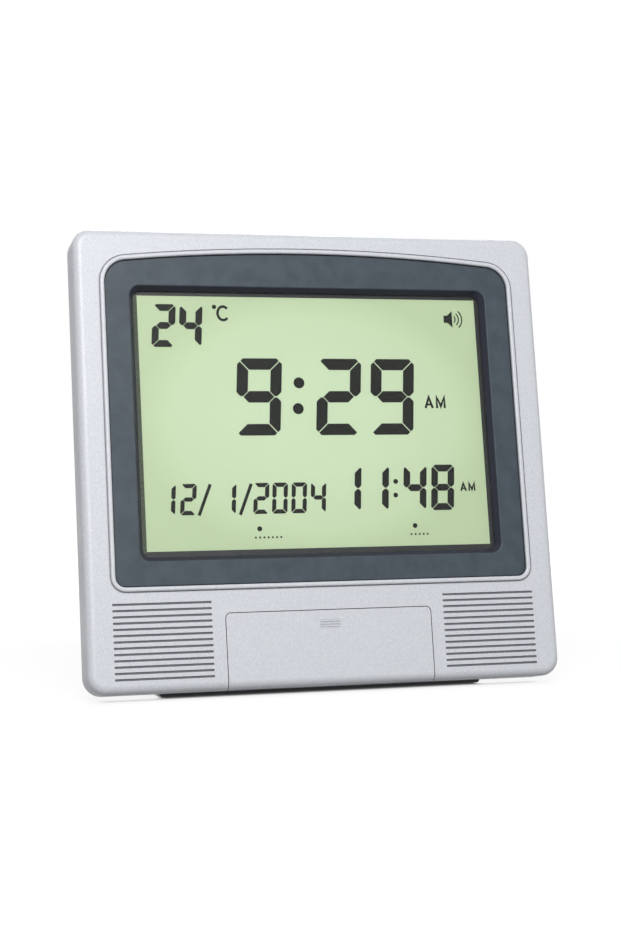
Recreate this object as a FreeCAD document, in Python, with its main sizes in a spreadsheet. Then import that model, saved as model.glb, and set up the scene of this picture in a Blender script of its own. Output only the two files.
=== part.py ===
import FreeCAD, Part
import Sketcher
import math
import os
import re

# Prayer-time clock for a desk or a wall, in millimetres.
# Every piece is drawn in the clock's own upright frame: X to the right, Y from the face towards the back,
# Z up the face. The last step leans the whole clock back and stands it on the table plane.

os.makedirs("parts", exist_ok=True)
doc = FreeCAD.newDocument("PrayerClock")

# Driving sizes

SIZES = {
    # case
    "lean": 9.0,
    "case_width": 290.0,
    "case_bottom": 0.7,
    "case_height": 274.4,
    "case_depth": 22.0,
    "wall": 2.4,
    "skin": 2.6,
    "face_round": 5.0,
    "corner_round": 11.0,
    "seat_gap": 0.3,
    "overlap": 1.0,
    # bezel, its raised rim and the groove round the rim
    "frame_side": 17.9,
    "frame_top": 13.1,
    "bezel_bottom": 61.8,
    "bezel_arch": 1140.0,
    "bezel_top_round": 14.0,
    "bezel_low_round": 6.0,
    "bezel_gap": 0.25,
    "bezel_set_back": 0.6,
    "bezel_depth": 4.0,
    "bezel_flange": 3.4,
    "bezel_edge": 0.5,
    "rim_width": 2.7,
    "rim_height": 1.3,
    "rim_round": 1.1,
    "groove_width": 0.6,
    "groove_depth": 0.5,
    # display
    "bezel_side": 14.6,
    "bezel_foot": 14.5,
    "bezel_head": 20.7,
    "recess_slope": 2.8,
    "recess_round": 6.5,
    "view_side": 5.5,
    "view_foot": 6.35,
    "view_head": 5.15,
    "window_seat": 0.5,
    "window_thickness": 1.5,
    "mask_thickness": 0.2,
    "glass_thickness": 2.8,
    "glass_margin": 4.0,
    "guide_thickness": 3.0,
    "holder_wall": 6.0,
    "holder_back": 2.9,
    "holder_lip": 8.0,
    "pocket_play": 0.15,
    "strip_width": 2.4,
    "strip_gap": 0.2,
    "strip_length": 120.0,
    "connector_inset": 7.0,
    "connector_height": 4.0,
    "connector_seat": 0.4,
    "connector_room": 1.0,
    "board_height": 105.0,
    "board_inset": 2.0,
    "board_side": 1.0,
    "board_thickness": 1.6,
    "board_screw_inset": 5.0,
    "chip_x": -30.0,
    "chip_z": 128.0,
    "chip_size": 18.0,
    "chip_height": 2.2,
    "crystal_radius": 1.5,
    "crystal_length": 8.0,
    "capacitor_x": 62.0,
    "capacitor_z": 122.0,
    "capacitor_radius": 4.0,
    "capacitor_length": 7.0,
    "capacitor_pitch": 12.0,
    "capacitor_count": 3,
    "sensor_inset": 21.0,
    "sensor_up": 12.0,
    "sensor_radius": 2.2,
    "sensor_length": 5.0,
    # speakers
    "speaker_inset": 3.7,
    "speaker_flange": 1.2,
    "speaker_bowl": 8.0,
    "speaker_neck": 12.0,
    "basket_edge": 1.5,
    "sheet_steel": 0.8,
    "cone_edge": 2.0,
    "cone_seat": 0.7,
    "cone_gap": 0.1,
    "cone_short": 2.0,
    "surround_thickness": 0.6,
    "surround_width": 2.5,
    "paper_thickness": 0.5,
    "magnet_radius": 14.0,
    "magnet_depth": 7.0,
    # speaker grilles
    "slot_outside": 15.3,
    "slot_length": 58.4,
    "slot_inside": 7.75,
    "slot_width": 1.3,
    "slot_pitch": 3.58,
    "slot_count": 13,
    "slot_low": 8.95,
    "slot_round": 0.55,
    # flap door
    "door_top": 45.0,
    "door_thickness": 2.2,
    "door_round": 3.0,
    "door_gap": 0.45,
    "knuckle_length": 6.0,
    "knuckle_radius": 2.9,
    "pin_radius": 1.2,
    "pin_play": 0.05,
    "pin_length": 10.5,
    "pin_grip": 5.0,
    "ridge_length": 12.0,
    "ridge_height": 0.8,
    "ridge_proud": 0.3,
    "ridge_pitch": 1.6,
    "ridge_drop": 9.8,
    "ridge_count": 3,
    "striker_width": 6.0,
    "striker_height": 3.6,
    "striker_depth": 2.8,
    "striker_gap": 0.3,
    # control tray, keys and latch
    "tray_depth": 7.8,
    "tray_floor": 1.8,
    "tray_wall": 2.8,
    "tray_room": 0.2,
    "roll_play": 0.4,
    "boss_length": 5.3,
    "key_width": 14.0,
    "key_height": 7.0,
    "key_round": 2.5,
    "key_edge": 0.7,
    "key_proud": 1.2,
    "key_play": 0.3,
    "key_side": 14.2,
    "key_pitch_z": 13.0,
    "key_row_low": 20.5,
    "key_columns": 4,
    "key_rows": 2,
    "key_flange": 1.0,
    "key_flange_edge": 1.2,
    "key_rest": 0.1,
    "key_travel": 0.8,
    "keypad_thickness": 1.0,
    "keypad_side": 10.0,
    "keyboard_side": 2.1,
    "keyboard_foot": 1.6,
    "keyboard_height": 32.0,
    "post_inset": 5.0,
    "post_radius": 2.6,
    "latch_width": 9.0,
    "latch_height": 6.0,
    "latch_drop": 6.4,
    "latch_depth": 9.6,
    "latch_front": 6.4,
    "latch_play": 0.1,
    "latch_notch": 0.5,
    "plunger_width": 5.0,
    "plunger_height": 3.0,
    "plunger_length": 7.2,
    "plunger_travel": 1.5,
    "plunger_play": 0.15,
    "plunger_room": 0.4,
    # rear housing
    "rear_inset": 1.5,
    "rear_plate": 2.4,
    "rear_round": 1.4,
    "lip_depth": 3.0,
    "lip_wall": 1.6,
    "base_side": 45.0,
    "base_bottom": -1.0,
    "hump_depth": 50.0,
    "hump_top": 132.0,
    "hump_slope_top": 152.0,
    "hump_round": 2.0,
    "foot_height": 0.8,
    "foot_width": 18.0,
    "foot_length": 12.0,
    "foot_inset": 22.0,
    "foot_setback": 9.0,
    "key_hole_x": 70.0,
    "key_hole_drop": 43.1,
    "key_hole_radius": 4.5,
    "key_slot_radius": 2.3,
    "key_slot_length": 9.0,
    # batteries
    "cell_radius": 7.25,
    "cell_length": 49.3,
    "nub_radius": 2.75,
    "nub_length": 1.2,
    "cell_gap": 0.35,
    "cell_room": 0.6,
    "cell_count": 4,
    "spring_length": 7.2,
    "spring_radius": 4.2,
    "spring_taper": 0.6,
    "contact_thickness": 0.5,
    "contact_width": 10.0,
    "bay_wall": 2.0,
    "bay_side": 4.8,
    "bay_bottom": 36.0,
    "cover_thickness": 2.1,
    "cover_overlap": 1.6,
    "cover_play": 0.3,
    "cover_rest": 0.05,
    "tongue_height": 1.5,
    "tongue_thickness": 0.9,
    "tongue_play": 0.15,
    "grip_inset": 8.0,
    "grip_width": 1.2,
    "grip_depth": 0.6,
    "grip_pitch": 3.0,
    "grip_height": 30.0,
    "grip_count": 5,
    # stand leg
    "stand_side": 6.0,
    "stand_thickness": 5.0,
    "stand_play": 1.0,
    "stand_z": 116.0,
    "stand_angle": 18.0,
    "stand_skin": 2.0,
    "stand_rib": 2.4,
    "stand_bays": 3,
    "stand_pin_radius": 1.5,
    "stand_pin_length": 9.0,
    "pivot_depth": 4.8,
    "well_depth": 8.5,
    "well_head": 4.5,
    # screws
    "boss_inset": 10.0,
    "boss_low": 11.0,
    "boss_mid": 140.0,
    "boss_drop": 11.1,
    "boss_radius": 3.5,
    "screw_radius": 1.4,
    "screw_play": 0.05,
    "screw_reach": 12.0,
    "head_radius": 2.9,
    "head_height": 1.8,
    "small_screw_radius": 1.0,
    "small_head_radius": 2.0,
    "small_head_height": 1.2,
    "small_bore_depth": 3.0,
    "small_screw_grip": 2.6,
    "board_bore_depth": 4.5,
    "board_screw_grip": 4.0,
    "ear_reach": 8.5,
    "ear_height": 9.0,
    "ear_thickness": 2.4,
    "ear_foot": 24.2,
    "ear_drop": 21.8,
}

# Sizes that follow from the driving ones: every fit, seat and clearance is worked out once here

FITS = {
    "base_start": "case_depth",
    "base_rear": "base_bottom + (hump_depth - base_start)*tan(lean)",
    "case_top": "case_bottom + case_height",
    "half_case": "case_width/2",
    "inner_half": "half_case - wall",
    "roll_y": "face_round",
    "roll_z": "case_bottom + face_round",
    "roll_inner": "face_round - door_thickness",
    "door_width": "case_width - 2*(slot_outside + slot_length + slot_inside + door_gap)",
    "half_door": "door_width/2",
    "half_doorway": "half_door + door_gap",
    "bezel_width": "case_width - 2*frame_side",
    "bezel_top": "case_top - frame_top",
    "bezel_back": "bezel_set_back + bezel_depth",
    "recess_width": "bezel_width - 2*bezel_side",
    "recess_bottom": "bezel_bottom + bezel_foot",
    "recess_top": "bezel_top - bezel_head",
    "view_width": "recess_width - 2*view_side",
    "view_bottom": "recess_bottom + view_foot",
    "view_top": "recess_top - view_head",
    "half_window": "recess_width/2 - window_seat",
    "window_bottom": "recess_bottom + window_seat",
    "window_top": "recess_top - window_seat",
    "window_back": "bezel_back + window_thickness",
    "mask_back": "window_back + mask_thickness",
    "glass_back": "mask_back + glass_thickness",
    "guide_back": "glass_back + guide_thickness",
    "half_glass": "view_width/2 + glass_margin",
    "glass_low": "view_bottom - glass_margin",
    "glass_high": "view_top + glass_margin",
    "half_holder": "half_window + holder_wall",
    "holder_low": "window_bottom - holder_wall",
    "holder_high": "window_top + holder_wall",
    "holder_end": "guide_back + holder_back",
    "half_back_hole": "half_window - holder_lip",
    "guide_low": "glass_low + connector_height + connector_room",
    "guide_right": "half_window - strip_width - 2*strip_gap",
    "strip_left": "guide_right + strip_gap",
    "connector_half": "view_width/2 - connector_inset",
    "connector_low": "glass_low + connector_seat",
    "board_front": "holder_end",
    "board_back": "board_front + board_thickness",
    "board_low": "holder_low + board_inset",
    "board_high": "board_low + board_height",
    "board_half": "half_holder - board_side",
    "board_screw_x": "half_holder - holder_wall/2",
    "board_screw_low": "board_low + board_screw_inset",
    "board_screw_high": "board_high - board_screw_inset",
    "sensor_x": "sensor_inset - board_half",
    "ear_x": "half_holder + ear_reach/2",
    "ear_low": "holder_low + ear_foot",
    "ear_high": "holder_high - ear_drop",
    "boss_x": "half_case - boss_inset",
    "boss_high": "case_top - boss_drop",
    "speaker_x": "half_case - slot_outside - slot_length/2",
    "speaker_z": "slot_low + slot_pitch*(slot_count - 1)/2",
    "speaker_radius": "slot_length/2 - speaker_inset",
    "bowl_radius": "speaker_radius - basket_edge",
    "cone_radius": "speaker_radius - cone_edge",
    "tray_front": "skin",
    "tray_back": "skin + tray_depth",
    "tray_face": "tray_back - tray_floor",
    "tray_in_half": "half_doorway + tray_room",
    "tray_half": "tray_in_half + tray_wall",
    "tray_in_top": "door_top + door_gap + tray_room",
    "tray_top": "tray_in_top + tray_wall",
    "tray_low": "case_bottom + wall",
    "roll_clear": "face_round + roll_play",
    "floor_low": "roll_z + roll_clear",
    "key_pitch_x": "(door_width - key_side)/key_columns",
    "key_front": "tray_face - key_proud",
    "key_flange_front": "tray_back + key_rest",
    "key_flange_back": "key_flange_front + key_flange",
    "keypad_front": "key_flange_back + key_travel + key_rest",
    "keyboard_front": "keypad_front + keypad_thickness",
    "keyboard_back": "keyboard_front + board_thickness",
    "keyboard_half": "half_door - keyboard_side",
    "keypad_half": "keyboard_half - keypad_side",
    "keyboard_low": "floor_low + keyboard_foot",
    "keyboard_high": "keyboard_low + keyboard_height",
    "post_x": "keyboard_half - post_inset",
    "post_z": "key_row_low + key_pitch_z/2",
    "ridge_low": "door_top - ridge_drop",
    "latch_z": "door_top - latch_drop",
    "latch_back": "latch_front + latch_depth",
    "plunger_front": "door_thickness + striker_depth + striker_gap",
    "plunger_back": "plunger_front + plunger_length",
    "base_half": "half_case - base_side",
    "foot_x": "base_half - foot_inset",
    "plate_back": "case_depth + rear_plate",
    "hump_inner": "hump_depth - rear_plate",
    "slope_fall": "(hump_slope_top - hump_top)/(hump_depth - plate_back)",
    "slope_drop": "rear_plate*sqrt(1 + slope_fall*slope_fall)",
    "key_hole_z": "case_top - key_hole_drop",
    "lift": "base_start*sin(lean) + foot_height - base_bottom*cos(lean)",
    "stand_y": "hump_depth - pivot_depth",
    "well_floor": "hump_depth - well_depth",
    "well_back": "well_floor - bay_wall",
    "well_top": "stand_z + well_head",
    "leg_reach": "(stand_z - base_bottom + (foot_height - stand_thickness/2)/cos(lean)"
                 " - (stand_y - base_start)*tan(lean))/(cos(stand_angle) + tan(lean)*sin(stand_angle))",
    "leg_low": "stand_z - leg_reach",
    "leg_front": "stand_y - stand_thickness/2",
    "leg_back": "stand_y + stand_thickness/2",
    "pin_hold": "stand_pin_length - bay_wall",
    "cell_full": "cell_length + nub_length",
    "bay_length": "cell_full + spring_length + contact_thickness",
    "bay_right": "base_half - bay_side",
    "bay_left": "bay_right - bay_length",
    "stand_half": "bay_left - stand_side",
    "stand_width": "2*stand_half",
    "stand_well": "stand_half + stand_play",
    "bay_height": "cell_count*(2*cell_radius + cell_gap) + cell_gap",
    "bay_top": "bay_bottom + bay_height",
    "cover_front": "hump_depth - cover_thickness",
    "bay_floor": "cover_front - 2*cell_radius - cell_room",
    "cover_left": "bay_left - cover_overlap",
    "cover_low": "bay_bottom - cover_overlap",
    "cover_high": "bay_top + cover_overlap",
    "tongue_front": "cover_front + (cover_thickness - tongue_thickness)/2",
    "tongue_back": "tongue_front + tongue_thickness",
    "grip_start": "base_half - grip_inset",
}


def full(text):
    """Write a formula with the sheet that each name lives in."""
    def place_name(match):
        word = match.group(0)
        if word in SIZES:
            return "Dims." + word
        if word in FITS:
            return "Fit." + word
        return word
    return re.sub(r"[a-z][a-z_]*", place_name, str(text))


def make_sheet(name, cells, formula):
    """Fill one spreadsheet with named cells."""
    sheet = doc.addObject("Spreadsheet::Sheet", name)
    for row, (alias, value) in enumerate(cells.items(), start=1):
        sheet.set("A%d" % row, alias)
        sheet.set("B%d" % row, "=" + full(value) if formula else str(value))
        sheet.setAlias("B%d" % row, alias)
    doc.recompute()
    return sheet


dims = make_sheet("Dims", SIZES, False)
fit = make_sheet("Fit", FITS, True)


def value(name):
    """Read one size as a number."""
    return float(dims.get(name) if name in SIZES else fit.get(name))


# Drawing helpers

NODES = []
OWN_TURN = {}
ALONG = {"x": FreeCAD.Rotation(FreeCAD.Vector(0, 1, 0), 90),
         "y": FreeCAD.Rotation(FreeCAD.Vector(1, 0, 0), -90),
         "z": FreeCAD.Rotation()}
NEAR = 0.01


def number(text):
    """Work out a formula of named sizes as a plain number."""
    def place_value(match):
        word = match.group(0)
        return "(%.9f)" % value(word) if word in SIZES or word in FITS else word
    return FreeCAD.Units.Quantity(re.sub(r"[a-z][a-z_]*", place_value, str(text))).Value


def new_body(label):
    """Start one named piece."""
    body = doc.addObject("PartDesign::Body", label)
    body.Label = label
    body.AllowCompound = True
    NODES.append(body)
    return body


def origin_item(body, role):
    """Find one of the piece's own reference planes or axes."""
    return next(item for item in body.Origin.OriginFeatures if item.Role == role)


def bind_place(feature, place):
    """Tie a feature's corner or start point to the sizes."""
    for axis, text in zip("xyz", place):
        feature.setExpression("Placement.Base." + axis, full(text))


def box(body, name, x, y, z, cut=False):
    """Add or cut a block that spans three pairs of limits."""
    kind = "PartDesign::SubtractiveBox" if cut else "PartDesign::AdditiveBox"
    feature = body.newObject(kind, name)
    for size, span in (("Length", x), ("Width", y), ("Height", z)):
        feature.setExpression(size, full("(%s) - (%s)" % (span[1], span[0])))
    bind_place(feature, (x[0], y[0], z[0]))
    return feature


def rod(body, name, axis, start, radius, length, cut=False):
    """Add or cut a round bar from its start point along an axis."""
    kind = "PartDesign::SubtractiveCylinder" if cut else "PartDesign::AdditiveCylinder"
    feature = body.newObject(kind, name)
    feature.Placement = FreeCAD.Placement(FreeCAD.Vector(), ALONG[axis])
    feature.setExpression("Radius", full(radius))
    feature.setExpression("Height", full(length))
    bind_place(feature, start)
    return feature


def cone(body, name, axis, start, radius, end_radius, length, cut=False):
    """Add or cut a cone from its start point along an axis."""
    kind = "PartDesign::SubtractiveCone" if cut else "PartDesign::AdditiveCone"
    feature = body.newObject(kind, name)
    feature.Placement = FreeCAD.Placement(FreeCAD.Vector(), ALONG[axis])
    feature.setExpression("Radius1", full(radius))
    feature.setExpression("Radius2", full(end_radius))
    feature.setExpression("Height", full(length))
    bind_place(feature, start)
    return feature


def new_sketch(body, name, role, offset):
    """Open a sketch on a plane parallel to one of the piece's own planes."""
    sketch = body.newObject("Sketcher::SketchObject", name)
    sketch.AttachmentSupport = (origin_item(body, role), [""])
    sketch.MapMode = "FlatFace"
    sketch.setExpression("AttachmentOffset.Base.z", full(offset))
    return sketch


def flat(x, y):
    """Make a sketch point."""
    return FreeCAD.Vector(x, y, 0)


def arc(centre, radius, start, end):
    """Make a sketch arc between two angles in radians."""
    return Part.ArcOfCircle(Part.Circle(centre, FreeCAD.Vector(0, 0, 1), radius), start, end)


def tie(sketch, kind, refs, text):
    """Add a dimension and tie it to a formula."""
    index = sketch.addConstraint(Sketcher.Constraint(kind, *refs, number(text)))
    sketch.setExpression("Constraints[%d]" % index, full(text))


def join_loop(sketch, first, count):
    """Join each edge's end to the next one's start, tangent where they meet."""
    for step in range(count):
        following = first + (step + 1) % count
        sketch.addConstraint(Sketcher.Constraint("Tangent", first + step, 2, following, 1))


def draw_loop(sketch, right, low, left, corners, top_edge):
    """Draw bottom, right, top and left edges with arcs at the corners and square up the sides."""
    first = sketch.GeometryCount
    bottom_right, top_right, top_left, bottom_left = corners
    sketch.addGeometry([
        Part.LineSegment(bottom_left.EndPoint, bottom_right.StartPoint),
        bottom_right,
        Part.LineSegment(bottom_right.EndPoint, top_right.StartPoint),
        top_right,
        top_edge,
        top_left,
        Part.LineSegment(top_left.EndPoint, bottom_left.StartPoint),
        bottom_left], False)
    join_loop(sketch, first, 8)
    sketch.addConstraint(Sketcher.Constraint("Horizontal", first))
    sketch.addConstraint(Sketcher.Constraint("Vertical", first + 2))
    sketch.addConstraint(Sketcher.Constraint("Vertical", first + 6))
    tie(sketch, "DistanceY", (-1, 1, first, 1), low)
    tie(sketch, "DistanceX", (-1, 1, first + 2, 1), right)
    tie(sketch, "DistanceX", (-1, 1, first + 6, 1), left)
    return first


def rounded_rectangle(left, right, low, high, radius):
    """Give a function that draws a rectangle with four equal rounded corners."""
    def draw(sketch):
        x0, x1, z0, z1, r = [number(text) for text in (left, right, low, high, radius)]
        quarter = math.pi/2
        corners = (arc(flat(x1 - r, z0 + r), r, 3*quarter, 4*quarter),
                   arc(flat(x1 - r, z1 - r), r, 0, quarter),
                   arc(flat(x0 + r, z1 - r), r, quarter, 2*quarter),
                   arc(flat(x0 + r, z0 + r), r, 2*quarter, 3*quarter))
        top_edge = Part.LineSegment(corners[1].EndPoint, corners[2].StartPoint)
        first = draw_loop(sketch, right, low, left, corners, top_edge)
        for corner in (3, 5, 7):
            sketch.addConstraint(Sketcher.Constraint("Equal", first + 1, first + corner))
        tie(sketch, "Radius", (first + 1,), radius)
        sketch.addConstraint(Sketcher.Constraint("Horizontal", first + 4))
        tie(sketch, "DistanceY", (-1, 1, first + 4, 1), high)
    return draw


def arched_outline(grow):
    """Give a function that draws the bezel's outline, with its shallow arched top, grown all round."""
    def draw(sketch):
        half = number("bezel_width/2 + " + grow)
        low = number("bezel_bottom - (%s)" % grow)
        top_round = number("bezel_top_round + " + grow)
        low_round = number("bezel_low_round + " + grow)
        arch = number("bezel_arch + " + grow)
        arch_z = number("bezel_top - bezel_arch")
        corner_x = half - top_round
        corner_z = arch_z + math.sqrt((arch - top_round)**2 - corner_x**2)
        turn = math.atan2(corner_z - arch_z, corner_x)
        corners = (arc(flat(half - low_round, low + low_round), low_round, 1.5*math.pi, 2*math.pi),
                   arc(flat(corner_x, corner_z), top_round, 0, turn),
                   arc(flat(-corner_x, corner_z), top_round, math.pi - turn, math.pi),
                   arc(flat(low_round - half, low + low_round), low_round, math.pi, 1.5*math.pi))
        first = draw_loop(sketch, "bezel_width/2 + " + grow, "bezel_bottom - (%s)" % grow,
                          "-(bezel_width/2 + %s)" % grow, corners,
                          arc(flat(0, arch_z), arch, turn, math.pi - turn))
        sketch.addConstraint(Sketcher.Constraint("Equal", first + 1, first + 7))
        sketch.addConstraint(Sketcher.Constraint("Equal", first + 3, first + 5))
        tie(sketch, "Radius", (first + 1,), "bezel_low_round + " + grow)
        tie(sketch, "Radius", (first + 3,), "bezel_top_round + " + grow)
        tie(sketch, "Radius", (first + 4,), "bezel_arch + " + grow)
        sketch.addConstraint(Sketcher.Constraint("PointOnObject", first + 4, 3, -2))
        tie(sketch, "DistanceY", (-1, 1, first + 4, 3), "bezel_top - bezel_arch")
    return draw


def side_profile(corners):
    """Give a function that draws a straight-sided outline through (depth, height) corners."""
    def draw(sketch):
        spots = [flat(number(depth), number(height)) for depth, height in corners]
        for step, spot in enumerate(spots):
            sketch.addGeometry(Part.LineSegment(spot, spots[(step + 1) % len(spots)]), False)
        for step, (depth, height) in enumerate(corners):
            following = (step + 1) % len(spots)
            sketch.addConstraint(Sketcher.Constraint("Coincident", step, 2, following, 1))
            tie(sketch, "DistanceX", (-1, 1, step, 1), depth)
            tie(sketch, "DistanceY", (-1, 1, step, 1), height)
    return draw


def face_block(body, name, draw, y, cut=False):
    """Raise or cut a face outline between two depths."""
    sketch = new_sketch(body, name + "_sketch", "XZ_Plane", "-(%s)" % y[0])
    for outline in draw if isinstance(draw, list) else [draw]:
        outline(sketch)
    feature = body.newObject("PartDesign::Pocket" if cut else "PartDesign::Pad", name)
    feature.Profile = sketch
    feature.Reversed = not cut
    feature.setExpression("Length", full("(%s) - (%s)" % (y[1], y[0])))
    return feature


def side_block(body, name, draw, x, cut=False):
    """Raise or cut a side outline between two places across the clock."""
    sketch = new_sketch(body, name + "_sketch", "YZ_Plane", x[0])
    draw(sketch)
    feature = body.newObject("PartDesign::Pocket" if cut else "PartDesign::Pad", name)
    feature.Profile = sketch
    feature.Reversed = cut
    feature.setExpression("Length", full("(%s) - (%s)" % (x[1], x[0])))
    return feature


def round_edges(body, name, base, radius, wanted):
    """Round the edges of the last feature that pass a test on their bounds."""
    doc.recompute()
    names = ["Edge%d" % place for place, edge in enumerate(base.Shape.Edges, start=1)
             if wanted(edge.BoundBox)]
    feature = body.newObject("PartDesign::Fillet", name)
    feature.Base = (base, names)
    feature.setExpression("Radius", full(radius))
    return feature


def at_depth(depth):
    """Give a test for edges that lie in the plane at one depth."""
    y = number(depth)
    return lambda bounds: abs(bounds.YMin - y) < NEAR and abs(bounds.YMax - y) < NEAR


def top_corners(height, half):
    """Give a test for the edges that run back from the two upper corners of a door or doorway."""
    top = number(height)
    side = number(half)
    return lambda bounds: (abs(bounds.ZMin - top) < NEAR and abs(bounds.ZMax - top) < NEAR
                           and abs(abs(bounds.XMin) - side) < NEAR and bounds.XLength < NEAR)


# Case

SIDES = (("left", "-"), ("right", ""))
CASE_SCREWS = [(sign + "boss_x", height) for _, sign in SIDES
               for height in ("boss_low", "boss_mid", "boss_high")]
EAR_SCREWS = [(sign + "ear_x", height) for _, sign in SIDES for height in ("ear_low", "ear_high")]
BOARD_SCREWS = [(sign + "board_screw_x", height) for _, sign in SIDES
                for height in ("board_screw_low", "board_screw_high")]


def make_front_housing():
    """Silver moulded tray: rounded face, window, raised rim, grilles, doorway and screw bosses."""
    body = new_body("front_housing")
    outside = face_block(body, "case_block", rounded_rectangle(
        "-half_case", "half_case", "case_bottom", "case_top", "corner_round"), ("0", "case_depth"))
    round_edges(body, "face_rounding", outside, "face_round", at_depth("0"))
    face_block(body, "case_hollow", rounded_rectangle(
        "-inner_half", "inner_half", "case_bottom + wall", "case_top - wall", "corner_round - wall"),
        ("skin", "case_depth"), cut=True)
    face_block(body, "rim", arched_outline("rim_width"), ("-rim_height", "skin/2"))
    face_block(body, "rim_groove", [arched_outline("rim_width"), arched_outline("rim_width + groove_width")],
               ("0", "groove_depth"), cut=True)
    window = face_block(body, "window", arched_outline("0"), ("-rim_height", "skin"), cut=True)
    round_edges(body, "rim_rounding", window, "rim_round", at_depth("-rim_height"))
    doorway_x = ("-half_doorway", "half_doorway")
    box(body, "doorway", doorway_x, ("-rim_height", "skin"),
        ("case_bottom - rim_height", "door_top + door_gap"), cut=True)
    doorway = box(body, "doorway_floor", doorway_x, ("skin", "roll_y + roll_clear"),
                  ("case_bottom - rim_height", "case_bottom + wall"), cut=True)
    round_edges(body, "doorway_corners", doorway, "door_round + door_gap",
                top_corners("door_top + door_gap", "half_doorway"))
    slot = face_block(body, "grille_slot", [
        rounded_rectangle(side + "speaker_x - slot_length/2", side + "speaker_x + slot_length/2",
                          "slot_low - slot_width/2", "slot_low + slot_width/2", "slot_round")
        for _, side in SIDES], ("-rim_height", "skin"), cut=True)
    pattern = body.newObject("PartDesign::LinearPattern", "grille")
    pattern.Originals = [slot]
    pattern.Direction = (origin_item(body, "Z_Axis"), [""])
    pattern.setExpression("Length", full("slot_pitch*(slot_count - 1)"))
    pattern.setExpression("Occurrences", full("slot_count"))
    body.Tip = pattern
    for place, (x, z) in enumerate(CASE_SCREWS):
        rod(body, "boss_%d" % place, "y", (x, "skin", z), "boss_radius", "case_depth - skin")
        rod(body, "boss_bore_%d" % place, "y", (x, "plate_back - screw_reach - overlap", z),
            "screw_radius + screw_play", "screw_reach", cut=True)


def make_screws(label, places, radius, seat, reach, head_radius, head_height):
    """Pan-head screws driven forward from the back, all of one kind in one node."""
    body = new_body(label)
    for place, (x, z) in enumerate(places):
        rod(body, "shank_%d" % place, "y", (x, "%s - %s" % (seat, reach), z), radius, reach)
        rod(body, "head_%d" % place, "y", (x, seat, z), head_radius, head_height)


def make_rear_housing():
    """Moulded back: plate with locating lip, hollow hump with flat base, battery bay, stand recess."""
    body = new_body("rear_housing")
    plate = face_block(body, "plate", rounded_rectangle(
        "-(half_case - rear_inset)", "half_case - rear_inset", "case_bottom + rear_inset",
        "case_top - rear_inset", "corner_round - rear_inset"), ("case_depth", "plate_back"))
    round_edges(body, "plate_rounding", plate, "rear_round", at_depth("plate_back"))
    lip = "inner_half - seat_gap"
    face_block(body, "lip", rounded_rectangle(
        "-(%s)" % lip, lip, "case_bottom + wall + seat_gap", "case_top - wall - seat_gap",
        "corner_round - wall - seat_gap"), ("case_depth - lip_depth", "case_depth"))
    face_block(body, "lip_hollow", rounded_rectangle(
        "-(%s - lip_wall)" % lip, lip + " - lip_wall", "case_bottom + wall + seat_gap + lip_wall",
        "case_top - wall - seat_gap - lip_wall", "corner_round - wall - seat_gap - lip_wall"),
        ("case_depth - lip_depth", "case_depth"), cut=True)
    hump = side_block(body, "hump", side_profile([
        ("base_start", "base_bottom"), ("hump_depth", "base_rear"), ("hump_depth", "hump_top"),
        ("plate_back", "hump_slope_top"), ("base_start", "hump_slope_top")]), ("-base_half", "base_half"))
    behind = number("plate_back + overlap")
    round_edges(body, "hump_rounding", hump, "hump_round", lambda bounds: bounds.YMax > behind)
    inside = "case_depth - lip_depth - seat_gap"
    side_block(body, "hump_hollow", side_profile([
        (inside, "base_bottom + rear_plate/cos(lean) - (lip_depth + seat_gap)*tan(lean)"),
        ("hump_inner", "base_rear + rear_plate/cos(lean) - rear_plate*tan(lean)"),
        ("hump_inner", "hump_top + rear_plate*slope_fall - slope_drop"),
        ("plate_back", "hump_slope_top - slope_drop"),
        (inside, "hump_slope_top - slope_drop")]), ("rear_plate - base_half", "base_half - rear_plate"),
        cut=True)
    block_back = "hump_inner + overlap"
    box(body, "bay_block", ("bay_left - bay_wall", "base_half - rear_plate/2"),
        ("bay_floor - bay_wall", block_back), ("bay_bottom - bay_wall", "bay_top + bay_wall"))
    box(body, "stand_block", ("-(stand_well + bay_wall)", "stand_well + bay_wall"),
        ("well_back", block_back), ("base_rear + overlap", "well_top + bay_wall"))
    box(body, "bay", ("bay_left", "bay_right"), ("bay_floor", "hump_depth"), ("bay_bottom", "bay_top"),
        cut=True)
    box(body, "cover_seat", ("cover_left", "base_half"), ("cover_front - cover_rest", "hump_depth"),
        ("cover_low", "cover_high"), cut=True)
    box(body, "cover_groove", ("cover_left", "base_half"),
        ("tongue_front - tongue_play", "tongue_back + tongue_play"),
        ("cover_low - tongue_height", "cover_high + tongue_height"), cut=True)
    box(body, "stand_recess", ("-stand_well", "stand_well"), ("well_floor", "hump_depth"),
        ("base_bottom", "well_top"), cut=True)
    for tag, start in (("left", "-stand_well - bay_wall"), ("right", "stand_well")):
        rod(body, "stand_pin_bore_" + tag, "x", (start, "stand_y", "stand_z"),
            "stand_pin_radius", "bay_wall", cut=True)
    for place, (x, z) in enumerate(CASE_SCREWS):
        rod(body, "screw_hole_%d" % place, "y", (x, "case_depth", z),
            "screw_radius + screw_play", "rear_plate", cut=True)
    for tag, side in SIDES:
        x = side + "key_hole_x"
        rod(body, "hanger_entry_" + tag, "y", (x, "case_depth", "key_hole_z"), "key_hole_radius",
            "rear_plate", cut=True)
        box(body, "hanger_slot_" + tag, (x + " - key_slot_radius", x + " + key_slot_radius"),
            ("case_depth", "plate_back"), ("key_hole_z", "key_hole_z + key_slot_length"), cut=True)
        rod(body, "hanger_end_" + tag, "y", (x, "case_depth", "key_hole_z + key_slot_length"),
            "key_slot_radius", "rear_plate", cut=True)


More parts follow.
